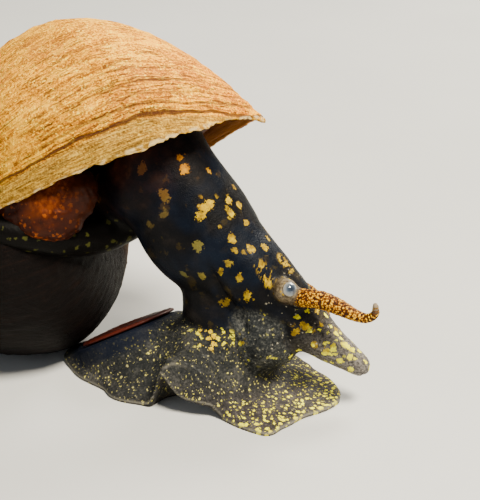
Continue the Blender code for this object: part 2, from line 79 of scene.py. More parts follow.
# building meshes
def newPiece(name, points, faces):  # points in the row frame
    mesh = bpy.data.meshes.new(name)
    mesh.from_pydata(points.tolist(), [], faces)
    mesh.validate()
    mesh.update()
    return addObject(name, mesh)


# faces between rings and to a closing point at each end; a ring may have three times the points of the next
def weave(counts):
    faces, a = [], 0
    for n, m in zip(counts, counts[1:]):
        b = a + n
        for c in range(min(n, m)):
            d = (c + 1) % min(n, m)
            if n == m:
                faces.append((a + c, a + d, b + d, b + c))
            elif n < m:
                fine = [b + 3 * c, b + 3 * c + 1, b + 3 * c + 2, b + (3 * c + 3) % m]
                faces += [(a + c, fine[1], fine[0]), (a + c, a + d, fine[2], fine[1]),
                          (a + d, fine[3], fine[2])]
            else:
                fine = [a + 3 * c, a + 3 * c + 1, a + 3 * c + 2, a + (3 * c + 3) % n]
                faces += [(fine[0], fine[1], b + c), (fine[1], fine[2], b + d, b + c),
                          (fine[2], fine[3], b + d)]
        a = b
    total = a + counts[-1]
    faces += [(total, (c + 1) % counts[0], c) for c in range(counts[0])]
    faces += [(total + 1, a + c, a + (c + 1) % counts[-1]) for c in range(counts[-1])]
    return faces


def closedPiece(name, points, counts):
    piece = newPiece(name, toRow(points), weave(counts))
    faceOutward(piece)
    return piece


def loft(name, rings, start, finish):
    rings = np.asarray(rings, float)
    rows, columns = rings.shape[:2]
    return closedPiece(name, np.vstack([rings.reshape(-1, 3), [start], [finish]]), [columns] * rows)


def faceOutward(piece):
    shape = bmesh.new()
    shape.from_mesh(piece.data)
    bmesh.ops.recalc_face_normals(shape, faces=shape.faces)
    shape.to_mesh(piece.data)
    shape.free()


def smoothLine(stations, steps):  # Catmull-Rom rows through the stations
    rows = np.array(stations, float)
    padded = np.vstack([2 * rows[0] - rows[1], rows, 2 * rows[-1] - rows[-2]])
    line = []
    for i in range(1, len(padded) - 2):
        a, b, c, d = padded[i - 1:i + 3]
        for step in range(steps):
            t = step / steps
            line.append(0.5 * (2 * b + (c - a) * t + (2 * a - 5 * b + 4 * c - d) * t * t
                               + (3 * b - a - 3 * c + d) * t ** 3))
    line.append(rows[-1])
    return np.array(line)


def lineAxes(line, side):  # directions ahead, across and above at every row
    ahead = np.gradient(line[:, :3], axis=0)
    ahead /= lengths(ahead)[:, None]
    across = side - ahead * (ahead @ side)[:, None]
    across /= lengths(across)[:, None]
    return ahead, across, np.cross(across, ahead)


def tube(name, line, side, columns=48, swell=None):
    centre, wide, high = line[:, :3], line[:, 3], line[:, min(4, line.shape[1] - 1)]
    ahead, across, above = lineAxes(line, side)
    angle = np.linspace(0, twoPi, columns, endpoint=False)
    scale = np.ones((len(line), columns))
    if swell is not None:
        scale = swell(np.arange(len(line))[:, None] / (len(line) - 1), angle[None, :])
    rings = [centre[i] + (across[i] * wide[i] * np.cos(angle)[:, None] + above[i] * high[i]
                          * np.sin(angle)[:, None]) * scale[i][:, None] for i in range(len(line))]

    def cap(ring, heart, way, size):
        return [heart + (ring - heart) * math.cos(turn) + way * size * math.sin(turn)
                for turn in (0.35, 0.7, 1.0, 1.3)]

    rings = (cap(rings[0], centre[0], -ahead[0], high[0])[::-1] + rings
             + cap(rings[-1], centre[-1], ahead[-1], high[-1]))
    return loft(name, rings, centre[0] - ahead[0] * high[0], centre[-1] + ahead[-1] * high[-1])


def ball(name, centre, radii, turn=None, columns=40, rows=24):
    tilt = np.eye(3) if turn is None else turn
    polar = np.linspace(0, math.pi, rows + 2)[1:-1]
    angle = np.linspace(0, twoPi, columns, endpoint=False)
    rings = []
    for p in polar:
        flat = np.stack([np.sin(p) * np.cos(angle), np.sin(p) * np.sin(angle), np.full(columns, np.cos(p))],
                        1)
        rings.append(np.asarray(centre) + (flat * radii) @ tilt.T)
    top = np.asarray(centre) + tilt @ (np.array((0, 0, 1.0)) * radii[2])
    bottom = np.asarray(centre) - tilt @ (np.array((0, 0, 1.0)) * radii[2])
    return loft(name, rings, top, bottom)


def discTurn(normal, forward):
    normal = unit(normal)
    ahead = unit(np.asarray(forward, float) - normal * np.dot(normal, forward))
    return np.stack([ahead, np.cross(normal, ahead), normal], 1)


def bake(piece):  # modifiers into the mesh
    bpy.context.view_layer.update()
    graph = bpy.context.evaluated_depsgraph_get()
    mesh = bpy.data.meshes.new_from_object(piece.evaluated_get(graph))
    piece.modifiers.clear()
    piece.data = mesh
    return piece


def weld(name, forms, voxel, rounds):  # one skin over overlapping forms
    joined = bmesh.new()
    for form in forms:
        joined.from_mesh(form.data)
        bpy.data.objects.remove(form)
    mesh = bpy.data.meshes.new(name)
    joined.to_mesh(mesh)
    joined.free()
    piece = addObject(name, mesh)
    skin = piece.modifiers.new("skin", "REMESH")
    skin.mode, skin.voxel_size = "VOXEL", voxel * 0.001
    smoother = piece.modifiers.new("smoother", "SMOOTH")
    smoother.factor, smoother.iterations = 0.5, rounds
    return bake(piece)


def readVectors(piece, field):
    flat = np.zeros(len(piece.data.vertices) * 3, np.float32)
    piece.data.vertices.foreach_get(field, flat)
    return flat.reshape(-1, 3).astype(float)


def spots(piece):  # vertex places in millimetres
    return readVectors(piece, "co") * 1000 + rowOrigin


def normals(piece):
    return readVectors(piece, "normal")


def setSpots(piece, points):
    piece.data.vertices.foreach_set("co", toRow(points).astype(np.float32).ravel())
    piece.data.update()


def paint(piece, name, values):  # a number or a vector at every vertex, for the material
    values = np.asarray(values, np.float32)
    kind = "FLOAT_VECTOR" if values.ndim == 2 else "FLOAT"
    layer = piece.data.attributes.new(name, kind, "POINT")
    layer.data.foreach_set("vector" if values.ndim == 2 else "value", values.ravel())


def soften(piece, rounds, weight):  # neighbour averaging, more where the weight is larger
    points = spots(piece)
    pairs = np.zeros(len(piece.data.edges) * 2, np.int32)
    piece.data.edges.foreach_get("vertices", pairs)
    first = np.concatenate([pairs[0::2], pairs[1::2]])
    other = np.concatenate([pairs[1::2], pairs[0::2]])
    count = np.maximum(np.bincount(first, minlength=len(points)), 1)
    for _ in range(rounds):
        middle = np.stack([np.bincount(first, points[other, k], len(points)) for k in range(3)],
                          1) / count[:, None]
        points = points + (middle - points) * (0.6 * weight)[:, None]
    setSpots(piece, points)


def flatUnder(piece):  # trims the piece flat at the floor
    shape = bmesh.new()
    shape.from_mesh(piece.data)
    parts = list(shape.verts) + list(shape.edges) + list(shape.faces)
    bmesh.ops.bisect_plane(shape, geom=parts, dist=1e-8, plane_co=(0, 0, 0), plane_no=(0, 0, -1),
                           clear_outer=True)
    rim = [e for e in shape.edges if e.is_boundary]
    if rim:
        bmesh.ops.triangle_fill(shape, use_beauty=True, edges=rim)
    bmesh.ops.recalc_face_normals(shape, faces=shape.faces)
    shape.to_mesh(piece.data)
    shape.free()


def dress(piece, material, nodes):
    piece.data.materials.clear()
    piece.data.materials.append(material)
    piece.data.polygons.foreach_set("use_smooth", [True] * len(piece.data.polygons))
    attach(piece, "root")
    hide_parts(*nodes)
    print(piece.name, len(piece.data.polygons), "faces")


# shader maths
class Link:
    def __init__(self, shade, socket):
        self.shade, self.socket = shade, socket

    def calc(self, operation, other, swapped=False):
        pair = [other, self] if swapped else [self, other]
        return self.shade.add("Math", {"operation": operation}, pair)

    def __add__(self, other):
        return self.calc("ADD", other)

    def __radd__(self, other):
        return self.calc("ADD", other, True)

    def __sub__(self, other):
        return self.calc("SUBTRACT", other)

    def __rsub__(self, other):
        return self.calc("SUBTRACT", other, True)

    def __mul__(self, other):
        return self.calc("MULTIPLY", other)

    def __rmul__(self, other):
        return self.calc("MULTIPLY", other, True)

    def most(self, other):
        return self.calc("MAXIMUM", other)

    def sine(self):
        return self.shade.add("Math", {"operation": "SINE"}, [self])


class Shade:
    def __init__(self, name, **fixed):
        self.material = bpy.data.materials.new(name)
        self.material.use_nodes = True
        self.tree = self.material.node_tree
        self.surface = self.tree.nodes["Principled BSDF"]
        for key, value in fixed.items():
            self.surface.inputs[key.replace("_", " ")].default_value = value

    def add(self, kind, settings=None, values=None, out=0):
        node = self.tree.nodes.new("ShaderNode" + kind)
        for key, value in (settings or {}).items():
            setattr(node, key, value)
        pairs = values.items() if isinstance(values, dict) else enumerate(values or [])
        for key, value in pairs:
            if isinstance(value, Link):
                self.tree.links.new(value.socket, node.inputs[key])
            else:
                node.inputs[key].default_value = value
        return Link(self, node.outputs[out])

    def number(self, name):
        return self.add("Attribute", {"attribute_name": name}, out=2)

    def vector(self, name):
        return self.add("Attribute", {"attribute_name": name}, out=1)

    def parts(self, name):  # the three numbers painted under one name
        return self.split(self.vector(name))

    def place(self):  # the surface point in millimetres
        return self.stretch(self.add("TexCoord", out=3), (1000.0, 1000.0, 1000.0))

    def split(self, vector):
        return [self.add("SeparateXYZ", {}, [vector], k) for k in range(3)]

    def stretch(self, vector, scale):
        return self.add("VectorMath", {"operation": "MULTIPLY"}, [vector, scale])

    def shove(self, vector, other):
        return self.add("VectorMath", {"operation": "ADD"}, [vector, other])

    def cloud(self, vector, scale, detail=3.0, rough=0.55, out=0):
        return self.add("TexNoise", {},
                        {"Vector": vector, "Scale": scale, "Detail": detail, "Roughness": rough}, out)

    def cells(self, vector, scale, out=0):
        return self.add("TexVoronoi", {}, {"Vector": vector, "Scale": scale}, out)

    def ease(self, value, low, high):
        return self.add("MapRange", {"interpolation_type": "SMOOTHSTEP"},
                        {"Value": value, "From Min": low, "From Max": high, "To Min": 0.0, "To Max": 1.0})

    def ramp(self, value, *stops):  # each stop: place, red, green, blue
        link = self.add("ValToRGB", {}, [value])
        elements = link.socket.node.color_ramp.elements
        while len(elements) < len(stops):
            elements.new(0.5)
        for element, (place, *colour) in zip(elements, stops):
            element.position = place
            element.color = (*colour, 1)
        return link

    def mix(self, share, first, second):
        first = first if isinstance(first, Link) else (*first, 1)
        second = second if isinstance(second, Link) else (*second, 1)
        return self.add("Mix", {"data_type": "RGBA", "clamp_factor": True}, {0: share, 6: first, 7: second},
                        2)

    def lay(self, share, tone):  # one more coat over the colour so far
        self.colour = self.mix(share, self.colour, tone)

    # blotches with torn edges: one per cell, in a share of the cells; spacing is the cell size
    def blotches(self, vector, spacing, size, share, torn=0.4):
        bend = self.add("VectorMath", {"operation": "MULTIPLY_ADD"},
                        [self.cloud(vector, 1.6 / spacing, 2.0, 0.6, 1), (spacing * 0.9,) * 3,
                         (-spacing * 0.45,) * 3])
        loose = self.shove(vector, bend)
        fray = self.cloud(vector, 4.5 / spacing, 3.0, 0.75)
        near = self.cells(loose, 1 / spacing) + (fray - 0.5) * torn
        red, green = [self.add("SeparateColor", {}, [self.cells(loose, 1 / spacing, 1)], k) for k in (0, 1)]
        width = (red * 0.8 + 0.6) * size
        inside = 1 - self.ease(near - width, -0.05, 0.05)
        return inside * self.ease(share - green, 0.0, 0.03)

    def finish(self, rough=None, height=None, strength=0.3, distance=0.0001):
        self.tree.links.new(self.colour.socket, self.surface.inputs["Base Color"])
        if rough is not None:
            self.tree.links.new(rough.socket, self.surface.inputs["Roughness"])
        if height is not None:
            bump = self.add("Bump", {}, {"Strength": strength, "Distance": distance, "Height": height})
            self.tree.links.new(bump.socket, self.surface.inputs["Normal"])
        return self.material


# camera and light
def pointAt(thing, place, back):
    thing.location = place
    thing.rotation_mode = "QUATERNION"
    thing.rotation_quaternion = back.to_track_quat("Z", "Y")


view = {
    "aim": (16.876, 1.791, 12.443),   # what the middle of the picture looks at
    "back": (0.3473, -0.8597, 0.3746),
    "distance": 135.0,
    "lens": 108.0,
}
lens = bpy.data.cameras.new("camera")
lens.lens, lens.sensor_width, lens.clip_start, lens.clip_end = view["lens"], 36, 0.005, 5
camera = addObject("camera", lens)
pointAt(camera, toRow(np.array(view["aim"]) + np.array(view["back"]) * view["distance"]),
        Vector(view["back"]))
bpy.context.scene.camera = camera

# each lamp: place, what it looks at, size in metres, watts, colour
lamps = {
    "key": ((0.13, -0.07, 0.25), (0.0, 0.0, 0.012), 0.08, 2.35, (1.0, 0.92, 0.76)),
    "fill": ((-0.16, -0.34, 0.1), (0.0, 0.0, 0.012), 0.3, 0.36, (0.86, 0.92, 1.0)),
    "rim": ((0.06, 0.26, 0.2), (0.0, 0.0, 0.015), 0.14, 1.7, (1.0, 0.95, 0.82)),
}
for name, (place, aim, size, power, colour) in lamps.items():
    lamp = bpy.data.lights.new(name, "AREA")
    lamp.size, lamp.energy, lamp.color = size, power, colour
    pointAt(addObject(name, lamp), place, Vector(place) - Vector(aim))
world = bpy.data.worlds.new("studio")
bpy.context.scene.world = world
world.use_nodes = True
world.node_tree.nodes["Background"].inputs["Color"].default_value = (0.8, 0.84, 0.88, 1)
world.node_tree.nodes["Background"].inputs["Strength"].default_value = 0.22

floorShade = Shade("floor_surface", Roughness=0.9)
floorShade.colour = floorShade.ramp(floorShade.cloud(floorShade.place(), 0.03), (0.3, 0.56, 0.56, 0.545),
                                    (0.7, 0.59, 0.59, 0.575))
floorShade.finish()
floor = newPiece("floor", np.array([(-1, -1, 0), (1, -1, 0), (1, 1, 0), (-1, 1, 0)]), [(0, 1, 2, 3)])
floor.data.materials.append(floorShade.material)
print("camera, lamps and floor ready")


# shell
shellCoil = {
    "apex": np.array((-22.69, -15.19, 6.55)),
    "axis": np.array((-0.7285, -0.6414, -0.2408)),
    "up": np.array((-0.4162, 0.135, 0.8992)),
    "near": np.array((0.5442, -0.7553, 0.3653)),
    "size": 1.071,
    "middle": (8.42, 33.9), # of the whorl's section: distance from the axis, length along it
    "halfOut": (9.1, 7.92), # half sizes of the section, away from the axis and towards it
    "halfAlong": (10.5, 15.5),    # the same towards the base and towards the apex
    "roundness": (1.71, 1.6),    # on the base side and on the apex side; 2 is an ellipse
    "heldRoundness": 1.68,  # of the limit for soft parts
    "ratio": 1.71,          # how much one turn grows
    "lipAngle": math.radians(81.8),
    "turns": 4.6,
    "columns": 150,         # round the whorl; three times as many next to the lip
    "stepsPerTurn": (224, 84, 50, 34, 26),
    "fineFrom": 0.05,       # turns behind the lip where the fine mesh starts
    "wallAtLip": 0.26,
    "wallInside": 0.72,
    "mouthDepth": 0.42,     # turns of hollow behind the lip
    "lipRidge": 0.2,        # the strong step just behind the lip, in millimetres
    "stepHeight": 0.12,     # the many weaker growth steps
    "grain": 0.035,
    "flakes": 0.22,         # height of the small loose bits on the skin
    "gather": 0.022,        # how far the growth lines run together at the tip of the lip, in turns
    "chips": 0.0022,        # how far the worn edge wanders, in turns
}


def halfSizes(c, s):
    return np.where(c > 0, *shellCoil["halfOut"]), np.where(s > 0, *shellCoil["halfAlong"])


def coilPoint(swing, radius, along):
    out = np.cos(swing)[:, None] * shellCoil["up"] + np.sin(swing)[:, None] * shellCoil["near"]
    return shellCoil["apex"] + radius[:, None] * out - along[:, None] * shellCoil["axis"]


def whorlSection(angle):  # at one size: distance from the axis, length along it, and the slope
    c, s = np.cos(angle), np.sin(angle)
    power = 2 / np.where(s > 0, *shellCoil["roundness"])
    c, s = np.sign(c) * np.abs(c) ** power, np.sign(s) * np.abs(s) ** power
    halfOut, halfAlong = halfSizes(c, s)
    radius = shellCoil["middle"][0] + halfOut * c - 0.53 * np.clip(-s, 0, 1) ** 2 * np.clip(c + 0.3, 0, 1)
    along = shellCoil["middle"][1] + halfAlong * s
    slopeR = np.roll(radius, -1) - np.roll(radius, 1)
    slopeZ = np.roll(along, -1) - np.roll(along, 1)
    length = np.hypot(slopeR, slopeZ) + 1e-9
    return radius, along, slopeR / length, slopeZ / length


def whorlRing(turn, angle, inset=0.0, full=None, coarse=1):  # turn and inset may vary round the ring
    radius, along, slopeR, slopeZ = whorlSection(angle if full is None else full)
    if full is not None and coarse:
        radius, along, slopeR, slopeZ = radius[::3], along[::3], slopeR[::3], slopeZ[::3]
    turn = np.broadcast_to(np.asarray(turn, float), angle.shape)
    grow = shellCoil["size"] * shellCoil["ratio"] ** turn
    radius = radius * grow - inset * slopeZ
    along = along * grow + inset * slopeR
    swing = shellCoil["lipAngle"] + twoPi * turn
    return coilPoint(swing, radius, along)


def holdInside(points, limit):  # keeps soft parts inside the whorl, limit as a share of its half width
    away = points - shellCoil["apex"]
    along = -away @ shellCoil["axis"]
    across = away + along[:, None] * shellCoil["axis"]
    x, y = across @ shellCoil["up"], across @ shellCoil["near"]
    radius = np.hypot(x, y)
    swing = np.arctan2(y, x) - shellCoil["lipAngle"]
    turn = ((swing + math.pi) % twoPi - math.pi) / twoPi
    grow = shellCoil["size"] * shellCoil["ratio"] ** turn
    middle, power = shellCoil["middle"], shellCoil["heldRoundness"]
    c, s = radius / grow - middle[0], along / grow - middle[1]
    halfOut, halfAlong = halfSizes(c, s)
    c, s = c / halfOut, s / halfAlong
    size = (np.abs(c) ** power + np.abs(s) ** power) ** (1 / power)
    shrink = np.minimum(1, limit / np.maximum(size, 1e-6))
    c, s = c * shrink, s * shrink
    return coilPoint(swing + shellCoil["lipAngle"], (middle[0] + c * halfOut) * grow,
                     (middle[1] + s * halfAlong) * grow)


def lipShift(angle):  # the worn, chipped edge, in turns
    chips = (ripple(angle * 6, 0, 5, 6, 0.6, 2.6) + 0.6 * ripple(angle * 24, 0, 6, 8, 0.5, 1.8)
             + 0.4 * ripple(angle * 70, 0, 7, 8, 0.5, 1.6))
    tip = 0.0055 * np.exp(-((angle - math.radians(74)) / 0.26) ** 2)
    far = (0.013 * ease(angle, math.radians(84), math.radians(102))
           * (1 - ease(angle, math.radians(125), math.radians(165))))
    return chips * shellCoil["chips"] * 0.5 + tip - far


def growthPlace(turn, angle):  # growth lines run together towards the tip of the lip
    turned = (np.asarray(angle) + math.pi) % twoPi - math.pi
    gather = (shellCoil["gather"] * ease(turned, math.radians(-15), math.radians(64))
              * (1 - ease(turned, math.radians(95), math.radians(135))))
    return turn - gather * np.exp(np.minimum(turn, 0) / 0.09)


def growthSteps():  # where growth paused: place in turns, height, length of the slope behind
    draw = np.random.default_rng(31)
    steps = [(-0.0235, shellCoil["lipRidge"], 0.01), (-0.012, 0.06, 0.005), (-0.0062, 0.05, 0.004),
             (-0.0295, 0.1, 0.006)]
    place = -0.04
    while place > -2.2:
        steps.append((place, shellCoil["stepHeight"] * draw.uniform(0.4, 1.3), draw.uniform(0.006, 0.02)))
        place -= draw.uniform(0.01, 0.034)
    return steps


def ridgeHeight(turn, angle):  # growth steps run parallel to the lip, each fading along its length
    sway = 0.0016 * ripple(angle * 4, turn * 9, 11, 6, 0.5, 2.2)
    place = growthPlace(turn, angle) + sway
    total = 0.0
    for k, (where, height, slope) in enumerate(growthSteps()):
        gap = place - where
        if np.min(np.abs(gap)) > 6 * slope + 0.01:
            continue
        patchy = 0.62 + 0.38 * ripple(angle * 3, k, 40 + k, 4, 0.4, 2.0)
        total = total + height * patchy * np.where(gap < 0, np.exp(np.minimum(gap, 0) / slope),
                np.exp(-np.maximum(gap, 0) / 0.0007))
    grain = (ripple(place * 1500, angle * 26, 13, 9, 0.3, 1.5)
             + ripple(place * 420, angle * 9, 14, 8, 0.4, 1.5))
    flakes = np.clip(ripple(turn * 190, angle * 19, 17, 9, 0.5, 1.6) - 1.25, 0, 1)
    return total + shellCoil["grain"] * grain + shellCoil["flakes"] * flakes


def buildShell():
    full = np.linspace(0, twoPi, shellCoil["columns"] * 3, endpoint=False)
    fineFrom = shellCoil["fineFrom"]
    turns = [-shellCoil["turns"]]
    for k in reversed(range(len(shellCoil["stepsPerTurn"]))):
        stop = -k if k else -fineFrom
        turns += list(np.arange(turns[-1], stop, 1 / shellCoil["stepsPerTurn"][k])[1:]) + [stop]
    outside = ([(t, 0.0, 0.0, 1) for t in turns]
               + [(t, 0.0, 0.0, 0) for t in np.linspace(-fineFrom, 0, 46)[1:]])
    edge = [(0.0003, 0.05, 0.3, 0), (0.0001, 0.13, 0.6, 0), (-0.0006, 0.21, 0.9, 0)]
    within = ([(t, None, 1.0, 0) for t in np.linspace(-0.002, -0.04, 12)]
              + [(t, None, 1.0, 1) for t in np.linspace(-0.05, -shellCoil["mouthDepth"], 30)])
    rings, coil, marks, counts = [], [], [], []
    for turn, inset, mark, coarse in outside + edge + within:
        angle = full[::3] if coarse else full
        place = turn + lipShift(angle) * ease(turn, -0.03, 0.0)
        if mark == 0:
            inset = (-ridgeHeight(turn, angle) * shellCoil["ratio"] ** turn
                     * ease(turn, -shellCoil["turns"], -3.5) * (1 - 0.6 * ease(turn, -0.004, 0.0)))
        elif inset is None:
            inset = (shellCoil["wallAtLip"] + (shellCoil["wallInside"] - shellCoil["wallAtLip"])
                     * ease(-turn, 0.0, 0.08))
        rings.append(whorlRing(place, angle, inset, full, coarse))
        coil.append(np.stack([growthPlace(place, angle), np.cos(angle), np.sin(angle)], 1))
        marks.append(np.stack([np.full(len(angle), mark), place, angle], 1))
        counts.append(len(angle))
    points = np.vstack(rings + [[rings[0].mean(axis=0)], [rings[-1].mean(axis=0)]])
    piece = closedPiece("shell", points, counts)
    paint(piece, "coil",
          np.vstack(coil + [[(-shellCoil["turns"], 0, 0)], [(-shellCoil["mouthDepth"], 0, 0)]]))
    paint(piece, "marks",
          np.vstack(marks + [[(0, -shellCoil["turns"], 0)], [(1, -shellCoil["mouthDepth"], 0)]]))
    flatUnder(piece)
    return piece


def shellSurface():
    s = Shade("worn_shell", Roughness=0.6)
    s.surface.inputs["Specular IOR Level"].default_value = 0.08
    coil = s.vector("coil")
    growth = s.split(coil)[0]

    def strands(along, across, detail, rough=0.55):  # noise drawn out along the growth lines
        return s.cloud(s.stretch(coil, (along, across, across)), 1.0, detail, rough)

    inside, turn, around = s.parts("marks")
    place = s.place()
    bands = strands(150.0, 2.0, 5.0, 0.62)
    dashes = strands(850.0, 14.0, 3.0, 0.7)
    cracks = strands(420.0, 5.0, 3.0, 0.62)
    waver = s.add("VectorMath", {"operation": "MULTIPLY_ADD"},
                  [s.cloud(place, 0.7, 3.0, 0.6, 1), (0.007, 0.3, 0.3), coil])
    lines = s.cloud(s.stretch(waver, (300.0, 0.8, 0.8)), 1.0, 2.0, 0.5) - 0.5
    patches = s.cloud(place, 0.2, 4.0, 0.6)
    worn = s.cloud(place, 0.55, 5.0, 0.65)
    grit = s.cloud(place, 5.0, 3.0, 0.75)
    line = (s.ease(lines * lines, 0.0009, 0.0001) * s.ease(patches, 0.4, 0.58)
            * (s.ease(growth, -0.16, -0.05) * 0.5 + 0.5))
    s.colour = s.ramp(bands * 0.24 + dashes * 0.28 + grit * 0.48, (0.37, 0.07, 0.018, 0.0),
                      (0.44, 0.27, 0.084, 0.001), (0.5, 0.56, 0.22, 0.001), (0.56, 0.86, 0.4, 0.002),
                      (0.65, 1.0, 0.72, 0.03))
    s.lay(s.ease(patches, 0.54, 0.64) * 0.4, (0.37, 0.118, 0.014))
    s.lay(s.ease(patches, 0.46, 0.34) * 0.3, (0.95, 0.52, 0.02))
    s.lay(s.ease(worn, 0.52, 0.64) * 0.4, (0.96, 0.52, 0.01))
    s.lay(s.ease(cracks, 0.42, 0.32) * 0.85, (0.075, 0.024, 0.006))
    s.lay(line * 0.85, (0.07, 0.022, 0.006))
    flecks = s.ease(grit, 0.58, 0.66) * s.ease(worn, 0.4, 0.56)
    s.lay(flecks * 0.75, (1.0, 0.84, 0.1))
    pits = s.ease(s.cloud(place, 3.2, 2.0, 0.7), 0.42, 0.34) * s.ease(patches, 0.36, 0.54)
    s.lay(pits * 0.75, (0.12, 0.038, 0.001))
    sway = growth + (strands(60.0, 4.0, 3.0) - 0.5) * 0.01
    crease = s.ease(sway, -0.0258, -0.0244) * s.ease(sway, -0.0212, -0.0226)
    for start, end, strength in ((-0.034, -0.0318, 0.7), (-0.0425, -0.0408, 0.5), (-0.0545, -0.0522, 0.55),
                                 (-0.068, -0.0664, 0.4)):
        crease = crease.most(s.ease(sway, start - 0.0006, start + 0.0002)
                             * s.ease(sway, end + 0.0006, end - 0.0002) * s.ease(patches, 0.36, 0.54)
                             * strength)
    s.lay(crease * 0.9, (0.055, 0.018, 0.006))
    band = s.ease(growth, -0.0225, -0.019)
    grey = s.ramp(strands(900.0, 9.0, 4.0, 0.7) * 0.6 + grit * 0.4, (0.38, 0.066, 0.032, 0.004),
                  (0.49, 0.26, 0.14, 0.018), (0.6, 0.66, 0.41, 0.06))
    s.lay(band * 0.8, grey)
    # painted sunlight: near the lip, the side of the whorl that faces the light is made brighter and yellower
    paintedSunlight = s.ease(around, 0.1, 1.1) * s.ease(around, 2.6, 1.7) * s.ease(growth, -0.2, -0.03)
    s.lay(paintedSunlight, s.stretch(s.colour, (1.45, 1.25, 0.2)))
    # painted light: the top of the shell made lighter and paler
    paintedTopLight = s.ease(s.split(place)[2], 23.0, 29.0) * (1 - paintedSunlight * 0.6)
    s.lay(paintedTopLight * 0.7, s.stretch(s.colour, (1.7, 1.7, 2.4)))
    lipEdge = s.ease(turn, -0.003, -0.0008) * s.ease(s.cloud(place, 1.4, 3.0), 0.42, 0.56)
    s.lay(lipEdge * 0.6, (0.78, 0.6, 0.28))
    # darker further back from the lip, with a ragged edge
    darkerBehind = s.ease(turn + (worn - 0.5) * 0.3, -0.22, -0.52)
    s.lay(darkerBehind, s.stretch(s.colour, (0.24, 0.19, 0.3)))
    s.lay(s.ease(turn, -1.02, -1.35), s.stretch(s.colour, (0.36, 0.3, 0.3)))
    shaded = s.ease(turn, -0.52, -0.72) * s.ease(turn, -1.35, -1.02)  # dark under the mouth
    under = s.ramp(strands(220.0, 3.0, 4.0, 0.6), (0.3, 0.0008, 0.0003, 0.0003),
                   (0.55, 0.0026, 0.001, 0.0007), (0.75, 0.01, 0.0042, 0.002))
    s.lay(shaded, under)
    inner = s.ramp(strands(60.0, 2.0, 3.0), (0.3, 0.05, 0.009, 0.003), (0.7, 0.19, 0.045, 0.012))
    inner = s.mix(s.ease(turn, -0.09, 0.0) * 0.75, inner, (0.52, 0.18, 0.015))  # light through the thin lip
    inside = s.ease(inside, 0.55, 0.95)
    s.lay(inside, inner)
    rough = 0.74 - shaded * 0.16 - inside * 0.3 + (bands - 0.5) * 0.2
    height = bands * 0.3 + dashes * 0.6 + grit * 0.7 + worn * 0.2 - line * 0.35 - crease * 0.5
    return s.finish(rough, height, 0.9, 0.00026)


shell = buildShell()
dress(shell, shellSurface(), ("shell_body_whorl", "shell_penultimate_whorl", "shell_spire"))


# foot, body, head and tentacles as one skin
footShape = {
    "middle": (14.0, 0.0),
    "outline": {0: 13.1, 12: 12.2, 26: 10.5, 46: 9.5, 70: 8.4, 90: 7.9, 112: 7.9, 132: 8.6, 152: 10.4,
                167: 12.6, 180: 14.0, 201: 11.7, 214: 9.9, 236: 8.9, 250: 7.8, 270: 7.7, 290: 7.9, 303: 8.5,
                312: 10.9, 318: 12.4, 327: 12.2, 338: 12.0, 350: 12.7},
    "spread": 1.022,        # makes up for what the softening takes off the rim
    "edge": 0.36,           # thickness of the rim
    "sunk": 0.5,            # how far the sole reaches below the floor before it is trimmed
    "rise": (3.4, 5.0),     # in front and behind
    "power": (1.3, 0.85),   # how the back falls to the rim, in front and behind; smaller is fuller
    # the right side folds up: heights of the crest and of the hem, by degrees
    "crest": {250: 0.0, 254: 0.5, 257: 1.6, 260: 3.0, 264: 3.9, 270: 3.9, 278: 3.5, 286: 3.0, 295: 2.4,
              303: 1.4, 311: 0.5, 320: 0.0},
    "hem": {250: 0.0, 254: 0.25, 257: 1.0, 260: 2.6, 263: 3.6, 267: 3.3, 270: 2.7, 275: 1.9, 281: 1.45,
            290: 1.3, 297: 1.1, 301: 0.6, 305: 0.0},
    # x, y, half length, half width and height of the swelling under the neck
    "mound": (15.0, 0.0, 6.4, 8.3, 6.3),
}
